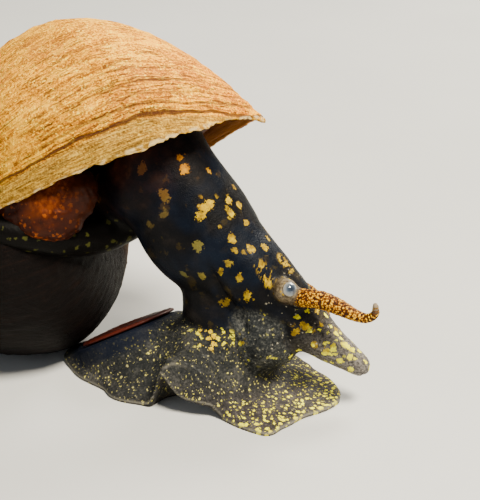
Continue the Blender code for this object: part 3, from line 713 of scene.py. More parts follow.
bodyShape = {
    "line": ((8.0, 1.5, 24.6, 3.0, 3.2), (8.8, 0.9, 22.6, 3.9, 4.3), (10.1, 0.3, 20.0, 4.15, 4.5),
             (13.35, 0.0, 15.05, 4.3, 5.2), (16.1, 0.0, 12.7, 4.0, 4.6), (18.5, 0.0, 11.4, 3.6, 3.55),
             (21.4, 0.0, 9.3, 3.0, 2.8), (23.8, 0.0, 7.25, 2.45, 2.25), (25.8, 0.0, 5.7, 1.95, 1.8),
             (27.6, 0.0, 4.72, 1.55, 1.36), (29.0, 0.0, 3.98, 1.15, 1.02)),
    "side": unit((0.35, -0.9, 0.26)),
    "stalk": ((15.2, 0.0, 12.0, 3.2, 3.0), (15.6, 0.0, 8.6, 3.4, 3.4), (16.0, 0.0, 5.4, 3.9, 3.8),
              (16.2, 0.0, 2.6, 4.8, 4.8), (16.2, 0.0, 1.6, 4.8, 4.8)),
    "collar": ((-5.0, -9.4, 16.6, 1.3), (-1.5, -9.1, 15.7, 1.5), (1.0, -7.9, 15.1, 1.65),
               (3.0, -5.6, 14.3, 1.8), (4.8, -2.0, 13.6, 1.9), (6.8, 0.8, 14.8, 2.2), (9.6, 1.4, 17.6, 2.9)),
    "throat": ((6.0, 1.3, 17.4), (4.6, 3.9, 3.8)),
    "nape": ((8.5, -0.6, 18.4), (3.8, 3.7, 3.7)),      # fills the corner between neck and throat
    "shoulder": ((20.3, -0.7, 5.7), (3.3, 3.1, 3.4)),
    "tentacleRight": ((23.3, -1.3, 9.9, 0.82), (24.3, -2.3, 10.65, 0.84), (26.2, -2.5, 10.8, 0.8),
                      (27.8, -2.6, 10.45, 0.72), (29.3, -2.7, 10.0, 0.54), (30.4, -2.8, 9.95, 0.42),
                      (31.1, -2.9, 10.55, 0.36), (31.1, -3.0, 11.35, 0.27)),
    "tentacleLeft": ((21.7, 1.2, 8.8, 0.82), (21.9, 3.2, 8.9, 0.8), (22.4, 4.7, 8.0, 0.74),
                     (22.9, 5.9, 6.8, 0.64), (23.2, 6.8, 5.5, 0.52), (23.4, 7.4, 4.3, 0.42),
                     (23.7, 7.9, 3.4, 0.36), (24.2, 8.4, 2.9, 0.3)),
    "bulbs": {"right": ((22.84, -2.36, 11.12), unit((0.61, -0.64, 0.47))),
              "left": ((20.9, 3.15, 9.35), unit((0.25, 0.92, 0.3)))},
    # pale line along the crest of the fold: a painted highlight
    "ridge": ((12.3, -6.5, 3.0), (12.8, -7.0, 3.7), (13.3, -7.2, 4.1), (14.0, -6.9, 4.5), (14.6, -6.7, 4.4),
              (15.3, -6.6, 4.2), (16.0, -6.5, 3.9)),
    # gold streaks beside the eyes
    "streaks": (((20.5, -2.3, 13.0), (21.0, -2.4, 12.4), (21.5, -2.6, 11.8)),
                ((21.6, -0.1, 13.0), (22.3, -0.2, 12.3)),
                ((18.2, 3.4, 10.6), (18.8, 3.2, 9.9), (19.4, 2.9, 9.2))),
    "bulbRadius": 1.09,
    "eyeRadius": 0.7,
    "eyeOut": 0.62,
    "voxel": 0.162,
}
# creases in the skin, each a line of places with depth and width in millimetres
creases = {
    "groove": (((16.0, -4.3, 13.4), (16.7, -4.0, 12.0), (17.3, -3.6, 10.4), (18.1, -3.0, 8.8),
                (19.0, -3.0, 7.6), (19.9, -3.5, 6.6)), 0.42, 0.42),
    "junction": (((12.4, -1.2, 6.3), (13.6, -3.0, 6.7), (15.0, -3.9, 7.0), (16.8, -4.1, 6.9),
                  (18.3, -3.8, 6.2), (19.6, -3.9, 5.2)), 0.28, 0.38),
    "behindEye": (((21.6, -3.1, 11.6), (21.2, -3.4, 10.6), (21.7, -3.3, 9.4), (22.8, -2.9, 8.9)), 0.22, 0.28),
    "cheek": (((22.6, -2.6, 8.3), (23.0, -2.6, 7.0), (23.2, -2.4, 5.6)), 0.3, 0.35),
    "mouth": (((28.9, -0.95, 3.25), (29.35, -0.5, 3.2), (29.5, 0.0, 3.2), (29.35, 0.5, 3.2),
               (28.9, 0.95, 3.25)), 0.3, 0.16),
}
# blotches on the side the photo shows: share along the neck, degrees round it from the right side up,
# radius, strength
# strength is partly each blotch's own dullness and partly painted shade: many blotches on the side turned
# away from the light are weaker
blotchPlan = (
    (0.225, 25, 0.55, 1.0), (0.2, 27, 0.36, 0.9), (0.19, -17, 0.6, 0.35), (0.235, -10, 0.6, 0.35),
    (0.245, 50, 0.36, 0.8), (0.275, 27, 0.62, 1.0), (0.281, 20, 0.52, 0.95), (0.29, 13, 0.5, 0.9),
    (0.3, 48, 0.42, 1.0), (0.335, 60, 0.38, 0.9), (0.345, 42, 0.42, 0.9), (0.4, 53, 0.36, 0.9),
    (0.395, 22, 0.46, 0.8), (0.35, 22, 0.3, 0.7), (0.34, -8, 0.55, 0.35), (0.28, 68, 0.3, 0.8),
    (0.255, -20, 0.42, 0.25), (0.26, -40, 0.36, 0.22), (0.45, 17, 0.34, 0.6), (0.45, 0, 0.34, 0.45),
    (0.48, 32, 0.5, 0.95), (0.505, 50, 0.46, 1.0), (0.49, 72, 0.34, 0.9), (0.36, -45, 0.38, 0.3),
    (0.395, -32, 0.38, 0.38), (0.44, -15, 0.32, 0.5), (0.495, -12, 0.38, 0.55), (0.535, -28, 0.5, 0.85),
    (0.5, -70, 0.42, 0.6), (0.7, 48, 0.33, 1.0), (0.735, 32, 0.33, 1.0), (0.7, -25, 0.42, 0.8),
    (0.71, 0, 0.4, 0.85), (0.77, -22, 0.38, 0.8), (0.83, -20, 0.38, 0.85), (0.84, 10, 0.36, 0.9),
    (0.88, 40, 0.42, 1.0), (0.93, 15, 0.36, 1.0), (0.895, -25, 0.32, 0.95), (0.8, 66, 0.34, 0.8),
    (0.97, -35, 0.34, 1.0),
)
door = {
    "middle": np.array((5.75, 0.5, 3.6)),
    "normal": unit((-0.48, 0.18, 0.86)),
    "long": 4.65,
    "wide": 4.4,
    "thick": 0.32,
    "ahead": (1, 0, 0.3),   # where its long side points
    "egg": 0.08,            # how much fuller that end is
    "dish": 0.26,           # how far its rim lies below its middle
}
doorTurn = discTurn(door["normal"], door["ahead"])


def doorOutline(angle, size):
    long = door["long"] * size * np.cos(angle) * (1 + door["egg"] * np.cos(angle))
    return long, door["wide"] * size * np.sin(angle)


def doorPlace(long, wide, height):
    return door["middle"] + np.stack([long, wide, height], 1) @ doorTurn.T


def footReach(angle):
    keys = sorted(footShape["outline"])
    degrees = np.array([k - 360 for k in keys[-4:]] + keys + [k + 360 for k in keys[:4]], float)
    values = np.array([footShape["outline"][int(k) % 360] for k in degrees])
    slope = np.gradient(values, degrees)
    here = np.degrees(angle) % 360
    i = np.clip(np.searchsorted(degrees, here, side="right") - 1, 0, len(degrees) - 2)
    gap = degrees[i + 1] - degrees[i]
    t = (here - degrees[i]) / gap
    return ((2 * t ** 3 - 3 * t ** 2 + 1) * values[i] + (t ** 3 - 2 * t ** 2 + t) * slope[i] * gap
            + (-2 * t ** 3 + 3 * t ** 2) * values[i + 1] + (t ** 3 - t ** 2) * slope[i + 1] * gap)


def frillLift(angle, reach):
    here = np.degrees(angle) % 360
    crest = np.interp(here, list(footShape["crest"]), list(footShape["crest"].values()))
    hem = np.interp(here, list(footShape["hem"]), list(footShape["hem"].values()))
    inner = np.clip((reach - 0.42) / 0.38, 0, 1) ** 1.6
    return crest * inner + (hem - crest) * ease(reach, 0.82, 1.0)


def buildFoot():
    angle = np.linspace(0, twoPi, 360, endpoint=False)
    length = footReach(angle) * footShape["spread"]
    wave = 0.09 * ripple(angle * 7, 0, 21, 5, 0.6, 2.4) + 0.05 * ripple(angle * 22, 0, 22, 5, 0.6, 2.0)
    edge = footShape["edge"]
    moundX, moundY, halfLong, halfWide, top = footShape["mound"]

    def ring(reach, height, mounded=False):
        out = (length + wave * reach ** 6) * reach
        x, y = footShape["middle"][0] + out * np.cos(angle), footShape["middle"][1] + out * np.sin(angle)
        z = height + frillLift(angle, reach) + np.zeros_like(x)
        if mounded:
            far = np.hypot((x - moundX) / halfLong, (y - moundY) / halfWide)
            z = z + np.maximum(top - z, 0) * (1 - ease(far, 0.33, 1.0))
        return np.stack([x, y, z], 1)

    rings = []
    rear = ease(-np.cos(angle), 0.0, 0.6)
    rise = footShape["rise"][0] + (footShape["rise"][1] - footShape["rise"][0]) * rear
    power = footShape["power"][0] + (footShape["power"][1] - footShape["power"][0]) * rear
    for reach in (0.08, 0.16, 0.24, 0.32, 0.4, 0.48, 0.55, 0.62, 0.68, 0.74, 0.79, 0.84, 0.88, 0.92, 0.95,
                  0.98):
        rings.append(ring(reach, edge + (rise - edge) * (1 - reach) ** power, True))
    rings.append(ring(1.0, edge * 0.5))
    for reach in (0.985, 0.95, 0.9, 0.84, 0.77, 0.7, 0.6, 0.45, 0.3, 0.15):
        rings.append(ring(reach, -footShape["sunk"] * (reach < 0.97)))
    return loft("foot", rings, (*footShape["middle"], top), (*footShape["middle"], -footShape["sunk"]))


# share along a smoothed line, and distance from it over its radius where it has one
def nearest(points, stations, steps):
    line = smoothLine(stations, steps)
    best = np.full(len(points), 1e9)
    where = np.zeros(len(points))
    for i, row in enumerate(line):
        ratio = lengths(points - row[:3]) / (row[3] if len(row) > 3 else 1)
        closer = ratio < best
        best[closer] = ratio[closer]
        where[closer] = i / (len(line) - 1)
    return where, best


def footPlace(points):
    angle = np.arctan2(points[:, 1] - footShape["middle"][1], points[:, 0] - footShape["middle"][0])
    away = np.hypot(points[:, 0] - footShape["middle"][0], points[:, 1] - footShape["middle"][1])
    return angle, away, away / footReach(angle)


def carve(points, outward, line, depth, width):
    share, gap = nearest(points, line, 10)
    fade = ease(share, 0.0, 0.2) * ease(1 - share, 0.0, 0.2)
    cut = -depth * np.exp(-(gap / width) ** 2) + 0.18 * depth * np.exp(-((gap - 2.1 * width) / width) ** 2)
    return outward * (cut * (0.15 + 0.85 * fade))[:, None]


def buildSkin():
    neck = tube("neck", smoothLine(bodyShape["line"], 10), bodyShape["side"], 72)
    stalk = tube("stalk", smoothLine(bodyShape["stalk"], 8), np.array((0, -1.0, 0)), 60)
    collar = tube("collar", smoothLine(bodyShape["collar"], 8), np.array((0.3, -0.9, 0.2)), 40)
    shoulder = ball("shoulder", *bodyShape["shoulder"])
    throat = ball("throat", *bodyShape["throat"])
    nape = ball("nape", *bodyShape["nape"])
    angle = np.linspace(0, twoPi, 72, endpoint=False)
    rings = []
    for size, depth in ((0.5, 0.1), (1.0, 0.25), (1.07, 0.6), (1.13, 1.2), (1.17, 2.2), (1.18, 3.2),
                        (1.15, 4.2), (0.6, 4.6)):
        rings.append(doorPlace(*doorOutline(angle, size), np.full(72, -depth)))
    lobe = loft("lobe", rings, door["middle"], door["middle"] - door["normal"] * 4.6)
    body = weld("body", [neck, stalk, collar, throat, nape, shoulder, lobe, buildFoot()], 0.19, 2)
    points = spots(body)
    angle, _, reach = footPlace(points)
    rim = ease(reach, 0.7, 0.86) * ease(-(points[:, 2] - frillLift(angle, reach)), -2.2, -1.2)
    snoutEnd = ease(points[:, 0], 26.5, 28.5) * ease(points[:, 2], 2.5, 3.0)
    soften(body, 46, (1 - 0.97 * rim) * (1 - 0.8 * snoutEnd))

    def beads(along, angle):  # rings and small beads round a tentacle
        return (1 + 0.045 * np.sin(along * 120 + 0.5 * np.sin(angle * 3))
                + 0.03 * np.sin(angle * 7 + along * 50) * np.sin(along * 90))

    forms = [body]
    for side in ("Right", "Left"):
        forms.append(tube("tentacle" + side, smoothLine(bodyShape["tentacle" + side], 20),
                          bodyShape["side"], 36, beads))
    for centre, _ in bodyShape["bulbs"].values():
        forms.append(ball("bulb", centre, (bodyShape["bulbRadius"],) * 3))
    skin = weld("skin", forms, bodyShape["voxel"], 2)
    points = spots(skin)
    root = np.zeros(len(points))
    for side in ("Right", "Left"):
        where, near = nearest(points, bodyShape["tentacle" + side], 6)
        root = np.maximum(root, ease(-near, -2.6, -1.5) * ease(-where, -0.3, -0.05))
    for centre, look in bodyShape["bulbs"].values():
        gap = lengths(points - centre)
        root = np.maximum(root, ease(-gap, -2.3, -1.5) * ease(-(points - centre) @ look, -0.5, 0.2))
    soften(skin, 14, root)
    points, outward = spots(skin), normals(skin)
    where, near = nearest(points, bodyShape["line"], 6)
    folds = ripple(where * 60, points[:, 1] * 0.9, 51, 7, 0.4, 1.6) * ease(-near, -1.5, -1.2)
    angle, _, reach = footPlace(points)
    low = ease(-points[:, 2], -6.5, -4.0)
    pleats = (ripple(reach * 34, angle * 6, 52, 8, 0.4, 1.6) * low * ease(-reach, -0.93, -0.8)
              + 0.6 * ripple(angle * 60, reach * 6, 53, 8, 0.3, 1.4) * low * ease(-reach, -0.99, -0.9))
    moved = outward * (0.014 * folds + 0.03 * pleats * (points[:, 2] > 0.3))[:, None]
    for line, depth, width in creases.values():
        moved = moved + carve(points, outward, line, depth, width)
    points = points + moved
    local = (points - door["middle"]) @ doorTurn
    seat = (-door["thick"] / 2 - 0.08 - door["dish"]
            * ((local[:, 0] / door["long"]) ** 2 + (local[:, 1] / door["wide"]) ** 2))
    away = np.hypot(local[:, 0] / (door["long"] + 0.42), local[:, 1] / (door["wide"] + 0.08))
    over = (away < 1) & (local[:, 2] > seat) & (local[:, 2] < 1.0)
    local[over, 2] = seat[over]
    under = ((away < 1.25) & (local[:, 2] < seat) & (local[:, 2] > seat - 1.3)
             & (outward @ door["normal"] > 0.25))
    local[under, 2] += ((seat - local[:, 2]) * (1 - ease(away, 1.0, 1.25)))[under]
    points[over | under] = (door["middle"] + local @ doorTurn.T)[over | under]
    setSpots(skin, points)
    flatUnder(skin)
    return skin


def markSkin(skin):
    points, outward = spots(skin), normals(skin)
    angle, away, reach = footPlace(points)
    along, neckNear = nearest(points, bodyShape["line"], 8)
    rightShare, rightNear = nearest(points, bodyShape["tentacleRight"], 8)
    leftShare, leftNear = nearest(points, bodyShape["tentacleLeft"], 8)
    feeler = np.maximum(ease(-rightNear, -1.5, -1.15) * ease(rightShare, 0.1, 0.17),
                        ease(-leftNear, -1.5, -1.15) * ease(leftShare, 0.12, 0.2))
    share = np.where(rightNear < leftNear, rightShare, leftShare)
    # the foot ends in a line that climbs to the neck on the sides and stays low under the head
    border = 6.6 - 4.6 * ease(points[:, 0], 17.6, 21.0) - 1.2 * ease(-points[:, 0], -12.0, -9.5)
    foot = ease(border - points[:, 2], -0.35, 0.25) * (1 - feeler)
    head = (points[:, 0] > 21) & (neckNear < 1.22) & (points[:, 2] > 1.6)
    foot = np.where(head, 0.0, foot)
    slope = footShape["edge"] + frillLift(angle, reach)
    rim = ease(reach, 0.982, 0.998) * foot * np.exp(-((points[:, 2] - slope + 0.11) / 0.1) ** 2)
    # the painted highlight along the fold's crest joins the pale margin of the foot
    ridgeShare, ridgeGap = nearest(points, bodyShape["ridge"], 10)
    rim = np.maximum(rim, 0.7 * np.exp(-(ridgeGap / 0.13) ** 2) * ease(1 - ridgeShare, 0.0, 0.7))
    below = ease(-outward[:, 2], 0.2, 0.6) * ease(-reach, -0.995, -0.97) * (points[:, 2] < 3.5)
    front = ease(np.cos(angle - math.radians(-30)), -0.2, 0.95)
    local = (points - door["middle"]) @ doorTurn
    beside = np.hypot(local[:, 0] / (door["long"] + 1.3), local[:, 1] / (door["wide"] + 1.0))
    flank = ease(-beside, -1.05, -0.9) * ease(local[:, 2], -2.5, -1.9)
    cluster = np.exp(-((points[:, 0] - 16.8) / 2.3) ** 2 - ((points[:, 2] - 6.0) / 0.9) ** 2
                     - ((points[:, 1] + 3.7) / 1.6) ** 2)
    streak = 0.0
    for line in bodyShape["streaks"]:
        streak = np.maximum(streak, ease(-nearest(points, line, 6)[1], -0.75, -0.35))
    bulb = 0.0
    for centre, look in bodyShape["bulbs"].values():
        bulb = np.maximum(bulb,
                          ease(-lengths(points - centre), -1.5, -1.22)
                          * ease((points - centre) @ look, -0.7, 0.1))
    collarNear = nearest(points, bodyShape["collar"], 6)[1]
    collar = ease(-collarNear, -1.4, -1.1) * ease(neckNear, 1.02, 1.3)
    line = smoothLine(bodyShape["line"], 10)
    across, above = lineAxes(line, bodyShape["side"])[1:]
    row = np.rint(along * (len(line) - 1)).astype(int)
    arm = points - line[row, :3]
    swing = np.arctan2((arm * above[row]).sum(axis=1), (arm * across[row]).sum(axis=1))
    shown = ease(np.cos(swing), -0.2, 0.1) * ease(along, 0.08, 0.12)
    gap, power = np.full(len(points), 9.0), np.zeros(len(points))
    draw = np.random.default_rng(77)
    for station, turn, size, strength in blotchPlan:
        k, turn = round(station * (len(line) - 1)), math.radians(turn)
        spot = line[k, :3] + across[k] * line[k, 3] * math.cos(turn) + above[k] * line[k, 4] * math.sin(turn)
        spot = points[np.argmin(lengths(points - spot))]
        way = unit(draw.normal(size=3))      # each blotch is drawn out one way
        reachOut = points - spot
        spread = (reachOut ** 2).sum(axis=1) - 0.55 * (reachOut @ way) ** 2
        ratio = np.sqrt(np.maximum(spread, 0)) / (size * 0.76)
        closer = ratio < gap
        gap[closer], power[closer] = ratio[closer], strength
    swelling = (points - bodyShape["shoulder"][0]) / bodyShape["shoulder"][1]
    bulge = ease(-lengths(swelling), -1.3, -1.02) * (1 - head * ease(points[:, 0], 22.0, 23.5))
    glow = ease(-along, -0.27, -0.1) * ease(-np.sin(swing), -0.9, 0.5)
    paint(skin, "blotchMarks", np.stack([gap, power, shown], 1))
    paint(skin, "toneMarks", np.stack([bulge, glow, swing], 1))
    paint(skin, "polar",
          np.stack([np.cos(angle) * 18, np.sin(angle) * 18, (away - points[:, 2] * 0.5) / 0.72], 1))
    paint(skin, "footMarks", np.stack([foot, rim, front], 1))
    paint(skin, "headMarks", np.stack([feeler, share, along], 1))
    paint(skin, "spotMarks", np.stack([cluster, streak, bulb], 1))
    paint(skin, "darkMarks", np.stack([flank, below, collar], 1))


def skinSurface():
    s = Shade("speckled_skin", Roughness=0.36, Coat_Weight=0.02, Coat_Roughness=0.18)
    s.surface.inputs["Specular IOR Level"].default_value = 0.06
    place = s.place()
    foot, rim, front = s.parts("footMarks")
    feeler, share, along = s.parts("headMarks")
    cluster, streak, bulb = s.parts("spotMarks")
    flank, below, collar = s.parts("darkMarks")
    gap, power, shown = s.parts("blotchMarks")
    bulge, glow, swing = s.parts("toneMarks")
    mottle = s.cloud(place, 0.55, 5.0, 0.62)
    grain = s.cloud(place, 4.5, 3.0, 0.65)
    fine = s.cloud(place, 9.0, 2.0, 0.6)
    black = s.ramp(mottle, (0.32, 0.0012, 0.0015, 0.0024), (0.52, 0.0034, 0.003, 0.0034),
                   (0.7, 0.012, 0.0092, 0.008))
    blue = s.ramp(mottle, (0.32, 0.001, 0.002, 0.0052), (0.68, 0.0036, 0.0062, 0.0125))
    low = s.ease(along, 0.12, 0.3) * (1 - s.ease(along, 0.55, 0.75))
    s.colour = s.mix(low * s.ease(s.cloud(place, 0.25, 2.0), 0.4, 0.6), black, blue)
    s.lay(glow * 0.9, s.ramp(mottle, (0.4, 0.011, 0.0024, 0.001), (0.66, 0.054, 0.01, 0.0016)))
    snout = s.ease(along, 0.64, 0.88)
    s.lay(snout * 0.85, s.ramp(grain, (0.36, 0.046, 0.041, 0.04), (0.62, 0.23, 0.206, 0.18)))
    s.lay(bulge * (1 - foot) * 0.9,
          s.ramp(grain * 0.6 + mottle * 0.4, (0.38, 0.0085, 0.0095, 0.0098), (0.5, 0.024, 0.026, 0.026),
                 (0.62, 0.095, 0.094, 0.082)))
    footDark = s.ramp(mottle * 0.5 + grain * 0.5, (0.36, 0.0065, 0.0075, 0.008),
                      (0.5, 0.018, 0.0192, 0.019), (0.64, 0.058, 0.056, 0.05))
    footPale = s.ramp(mottle * 0.4 + grain * 0.6, (0.36, 0.02, 0.0178, 0.017), (0.5, 0.047, 0.041, 0.0385),
                      (0.64, 0.11, 0.096, 0.086))
    polar = s.vector("polar")
    fromMiddle = s.split(polar)[2]
    outer = s.ease(fromMiddle, 6.0, 14.0)
    s.lay(foot, s.mix(outer * (front * 0.75 + 0.15), footDark, footPale))
    s.lay(flank * 0.9, (0.0032, 0.0052, 0.0125))

    gold = s.ramp(s.cloud(place, 1.1, 3.0, 0.7), (0.34, 0.16, 0.048, 0.001), (0.52, 0.36, 0.13, 0.001),
                  (0.7, 0.52, 0.24, 0.002))
    amber = s.ramp(s.cloud(place, 1.6, 3.0, 0.7), (0.34, 0.17, 0.098, 0.0003), (0.52, 0.4, 0.245, 0.0004),
                   (0.7, 0.6, 0.43, 0.001))
    yellow = s.ramp(s.cloud(place, 2.0, 2.0), (0.34, 0.74, 0.62, 0.001), (0.66, 1.0, 0.95, 0.006))
    neckOnly = (1 - foot) * (1 - feeler) * (1 - bulb) * (1 - collar)
    hidden = 1 - shown * 0.95
    tone = s.mix(s.ease(along, 0.2, 0.3), gold, s.mix(s.ease(along, 0.76, 0.9), amber, yellow))
    big = s.blotches(s.stretch(place, (1.0, 1.0, 0.85)), 1.75, 0.27, 0.5, 0.6)
    small = s.blotches(place, 0.9, 0.25, 0.3, 0.55)
    s.lay(big.most(small * 0.85) * neckOnly * (1 - snout) * (1 - bulge) * hidden * 0.8, tone)
    # the blotches from blotchPlan: weaker ones come out fainter and duller, which is partly painted shade
    torn = gap + (s.cloud(place, 1.3, 3.0, 0.7) - 0.5) * 2.2 + (s.cloud(place, 4.4, 3.0, 0.7) - 0.5) * 2.4
    placed = (1 - s.ease(torn, 0.84, 0.98)) * power
    near = small * s.ease(gap, 2.6, 1.6) * power * 0.7
    s.lay(placed.most(near) * (1 - feeler) * (1 - bulb) * (1 - foot),
          s.mix(s.ease(power, 0.5, 0.3), tone,
                s.mix(s.ease(along, 0.2, 0.32), (0.22, 0.075, 0.012), (0.3, 0.26, 0.05))))
    tip = s.blotches(s.stretch(place, (0.7, 1.0, 1.1)), 0.52, 0.37,
                     s.ease(along, 0.68, 0.9) * 0.4 + 0.14, 0.5)
    s.lay(tip * s.ease(along, 0.6, 0.72) * neckOnly, yellow)
    ribs = s.ease(s.cloud(s.stretch(place, (2.6, 0.7, 0.9)), 1.5, 3.0, 0.6), 0.5, 0.55)
    s.lay(ribs * streak * neckOnly * 0.95, amber)
    pin = s.blotches(place, 0.4, 0.25, 0.42, 0.4)
    s.lay(pin * bulge * (1 - foot) * 0.75, s.mix(s.ease(mottle, 0.45, 0.6), (0.16, 0.15, 0.08), yellow))
    pale = s.blotches(place, 0.36, 0.17, 0.3, 0.3)
    s.lay(pale * neckOnly * s.ease(along, 0.5, 0.62) * 0.65, (0.42, 0.38, 0.28))
    margin = front * s.ease(fromMiddle, 12.5, 17.0)
    specks = s.blotches(polar, 0.74, front * outer * 0.19 + margin * 0.07 + 0.1,
                        front * outer * 0.46 + margin * 0.16 + 0.36, 0.35)
    dots = s.blotches(place, 0.5, front * outer * 0.05 + 0.18, 0.5 + front * 0.06, 0.35)
    dust = s.blotches(place, 0.3, 0.2, 0.62, 0.3)
    onFoot = foot * (1 - flank * 0.97) * (1 - below)
    dim = s.mix(s.ease(mottle, 0.42, 0.6), (0.34, 0.3, 0.12),
                s.mix(outer * front, (0.66, 0.58, 0.12), yellow))
    s.lay(dust * onFoot * 0.75, dim)
    s.lay(specks.most(dots * 0.9) * onFoot, s.mix(front * outer, dim, yellow))
    shine = s.blotches(place, 0.5, 0.4, 0.84, 0.7)
    s.lay(shine * s.ease(cluster, 0.15, 0.5), s.mix(s.ease(mottle, 0.4, 0.6), (0.66, 0.42, 0.001), yellow))
    # pale margin of the foot, with the painted highlight along the fold's crest
    s.lay(rim * 0.75, (0.19, 0.175, 0.14))
    green = s.blotches(place, 0.62, 0.32, 0.5, 0.4)
    s.lay(collar, s.mix(green * 0.7, (0.0014, 0.001, 0.0008), (0.06, 0.06, 0.01)))
    s.lay(below * foot, (0.06, 0.054, 0.045))

    beads = s.cells(place, 5.2)
    rings = (share * 125.0 + mottle * 5.0).sine()
    banded = s.ease(share, 0.42, 0.8)
    feelerColour = s.ramp(beads + rings * (banded * 0.22 + 0.07) + (mottle - 0.5) * 0.4,
                          (0.1, 0.8, 0.5, 0.022), (0.3, 0.5, 0.23, 0.008), (0.48, 0.17, 0.05, 0.003),
                          (0.66, 0.028, 0.009, 0.003))
    feelerColour = s.mix(s.ease(share, 0.84, 1.0) * 0.75, feelerColour,
                         s.mix(s.ease(rings, -0.2, 0.5), (0.05, 0.028, 0.018), (0.3, 0.24, 0.16)))
    s.lay(feeler, feelerColour)
    glass = s.ramp(mottle * 0.6 + grain * 0.4, (0.38, 0.022, 0.014, 0.008), (0.5, 0.085, 0.062, 0.036),
                   (0.62, 0.23, 0.18, 0.11))
    bulbGold = s.blotches(place, 0.45, 0.28, 0.36, 0.4)
    s.lay(bulb, s.mix(bulbGold, glass, amber))
    height = (mottle * 0.3 + grain * 0.5 + fine * 0.35 + specks * foot * 0.25 + placed * 0.15
              + beads * feeler * -0.8)
    rough = 0.38 + foot * 0.26 + feeler * 0.12 + bulge * 0.1 + mottle * 0.14 - bulb * 0.1 - flank * 0.16
    return s.finish(rough, height, 0.45, 0.00013)


skin = buildSkin()
markSkin(skin)
dress(skin, skinSurface(),
      ("neck_upper", "neck_lower", "head", "snout", "foot_rear", "foot_middle", "foot_front",
       "eye_bulb_right", "eye_bulb_left", "tentacle_right_base", "tentacle_right_middle",
       "tentacle_right_tip", "tentacle_left_base", "tentacle_left_middle", "tentacle_left_tip"))


# eyes
def buildEye(side):
    centre, look = bodyShape["bulbs"][side]
    middle = centre + look * bodyShape["eyeOut"]
    eye = ball("eye_" + side + "_ball", middle, (bodyShape["eyeRadius"],) * 3, discTurn(look, (0, 0, 1)),
               40, 30)
    points = spots(eye) - middle
    paint(eye, "gaze", np.arccos(np.clip(points @ look / bodyShape["eyeRadius"], -1, 1)))
    return eye


def eyeSurface():
    s = Shade("eye_surface", Roughness=0.12, Coat_Weight=1.0, Coat_Roughness=0.04)
    gaze = s.number("gaze")
    haze = (s.cloud(s.place(), 5.0, 3.0) - 0.5) * 0.12
    s.colour = s.ramp(gaze * 0.5 + haze, (0.0, 0.012, 0.018, 0.03), (0.2, 0.03, 0.042, 0.062),
                      (0.32, 0.085, 0.105, 0.13), (0.42, 0.17, 0.18, 0.185), (0.5, 0.26, 0.25, 0.22),
                      (0.57, 0.13, 0.095, 0.055), (0.68, 0.04, 0.024, 0.012))
    return s.finish()


eyeMaterial = eyeSurface()
for side in ("right", "left"):
    dress(buildEye(side), eyeMaterial, ("eye_" + side,))


# operculum
def buildDoor():
    angle = np.linspace(0, twoPi, 150, endpoint=False)
    half = door["thick"] / 2
    rings, rim = [], []
    levels = ([(r, -1) for r in (0.1, 0.3, 0.5, 0.7, 0.85, 0.95)] + [(0.99, -0.6), (1.0, 0.0), (0.99, 0.6)]
              + [(r, 1) for r in np.arange(0.97, 0.03, -0.03)])
    for size, level in levels:
        long, wide = doorOutline(angle, size)
        dish = door["dish"] * ((long / door["long"]) ** 2 + (wide / door["wide"]) ** 2)
        lines = ((0.05 * math.sin(size * 62) + 0.02 * ripple(angle * 3, size * 60, 61, 5, 0.5, 1.5))
                 * (level > 0.9))
        rings.append(doorPlace(long, wide, level * half - dish + lines))
        rim.append(size)
    piece = loft("operculum_plate", rings, door["middle"] - door["normal"] * half,
                 door["middle"] + door["normal"] * half)
    paint(piece, "rimward", np.append(np.repeat(rim, len(angle)), (0, 0)))
    return piece


def doorSurface():
    s = Shade("horny_plate", Roughness=0.5, Coat_Weight=0.03, Coat_Roughness=0.25)
    s.surface.inputs["Specular IOR Level"].default_value = 0.12
    rimward = s.number("rimward")
    lines = s.cloud(s.place(), 0.5, 3.0) * 0.15 + rimward
    waves = (lines * 66.0).sine() * 0.5 + 0.5
    s.colour = s.ramp(waves * 0.7 + s.cloud(s.place(), 1.2, 4.0) * 0.3, (0.15, 0.008, 0.0016, 0.001),
                      (0.55, 0.026, 0.004, 0.002), (0.9, 0.054, 0.01, 0.0048))
    s.lay(s.ease(rimward, 0.9, 1.0) * 0.7, (0.06, 0.007, 0.0028))
    return s.finish(height=s.cloud(s.place(), 1.5) + waves * 0.5, strength=0.25)


dress(buildDoor(), doorSurface(), ("operculum",))


# mantle: the soft pad set back in the shell's mouth, and the orange sac that hangs from its left part
mantleShape = {
    "setBack": 0.04,        # turns behind the lip
    "sac": ((1.3, -7.2, 17.6), (4.6, 3.0, 2.9)),
    "sacLong": unit((0.912, 0.217, -0.348)),
    "root": ((3.6, -5.8, 18.8), (3.1, 2.6, 2.7)),     # where it joins the pad
    "glow": (3.0, -8.0, 19.9),      # where light comes through it
    "sacNormal": unit((0.4, -0.86, 0.32)),
    "inside": 0.9,          # share of the whorl's half width that soft parts may fill
}


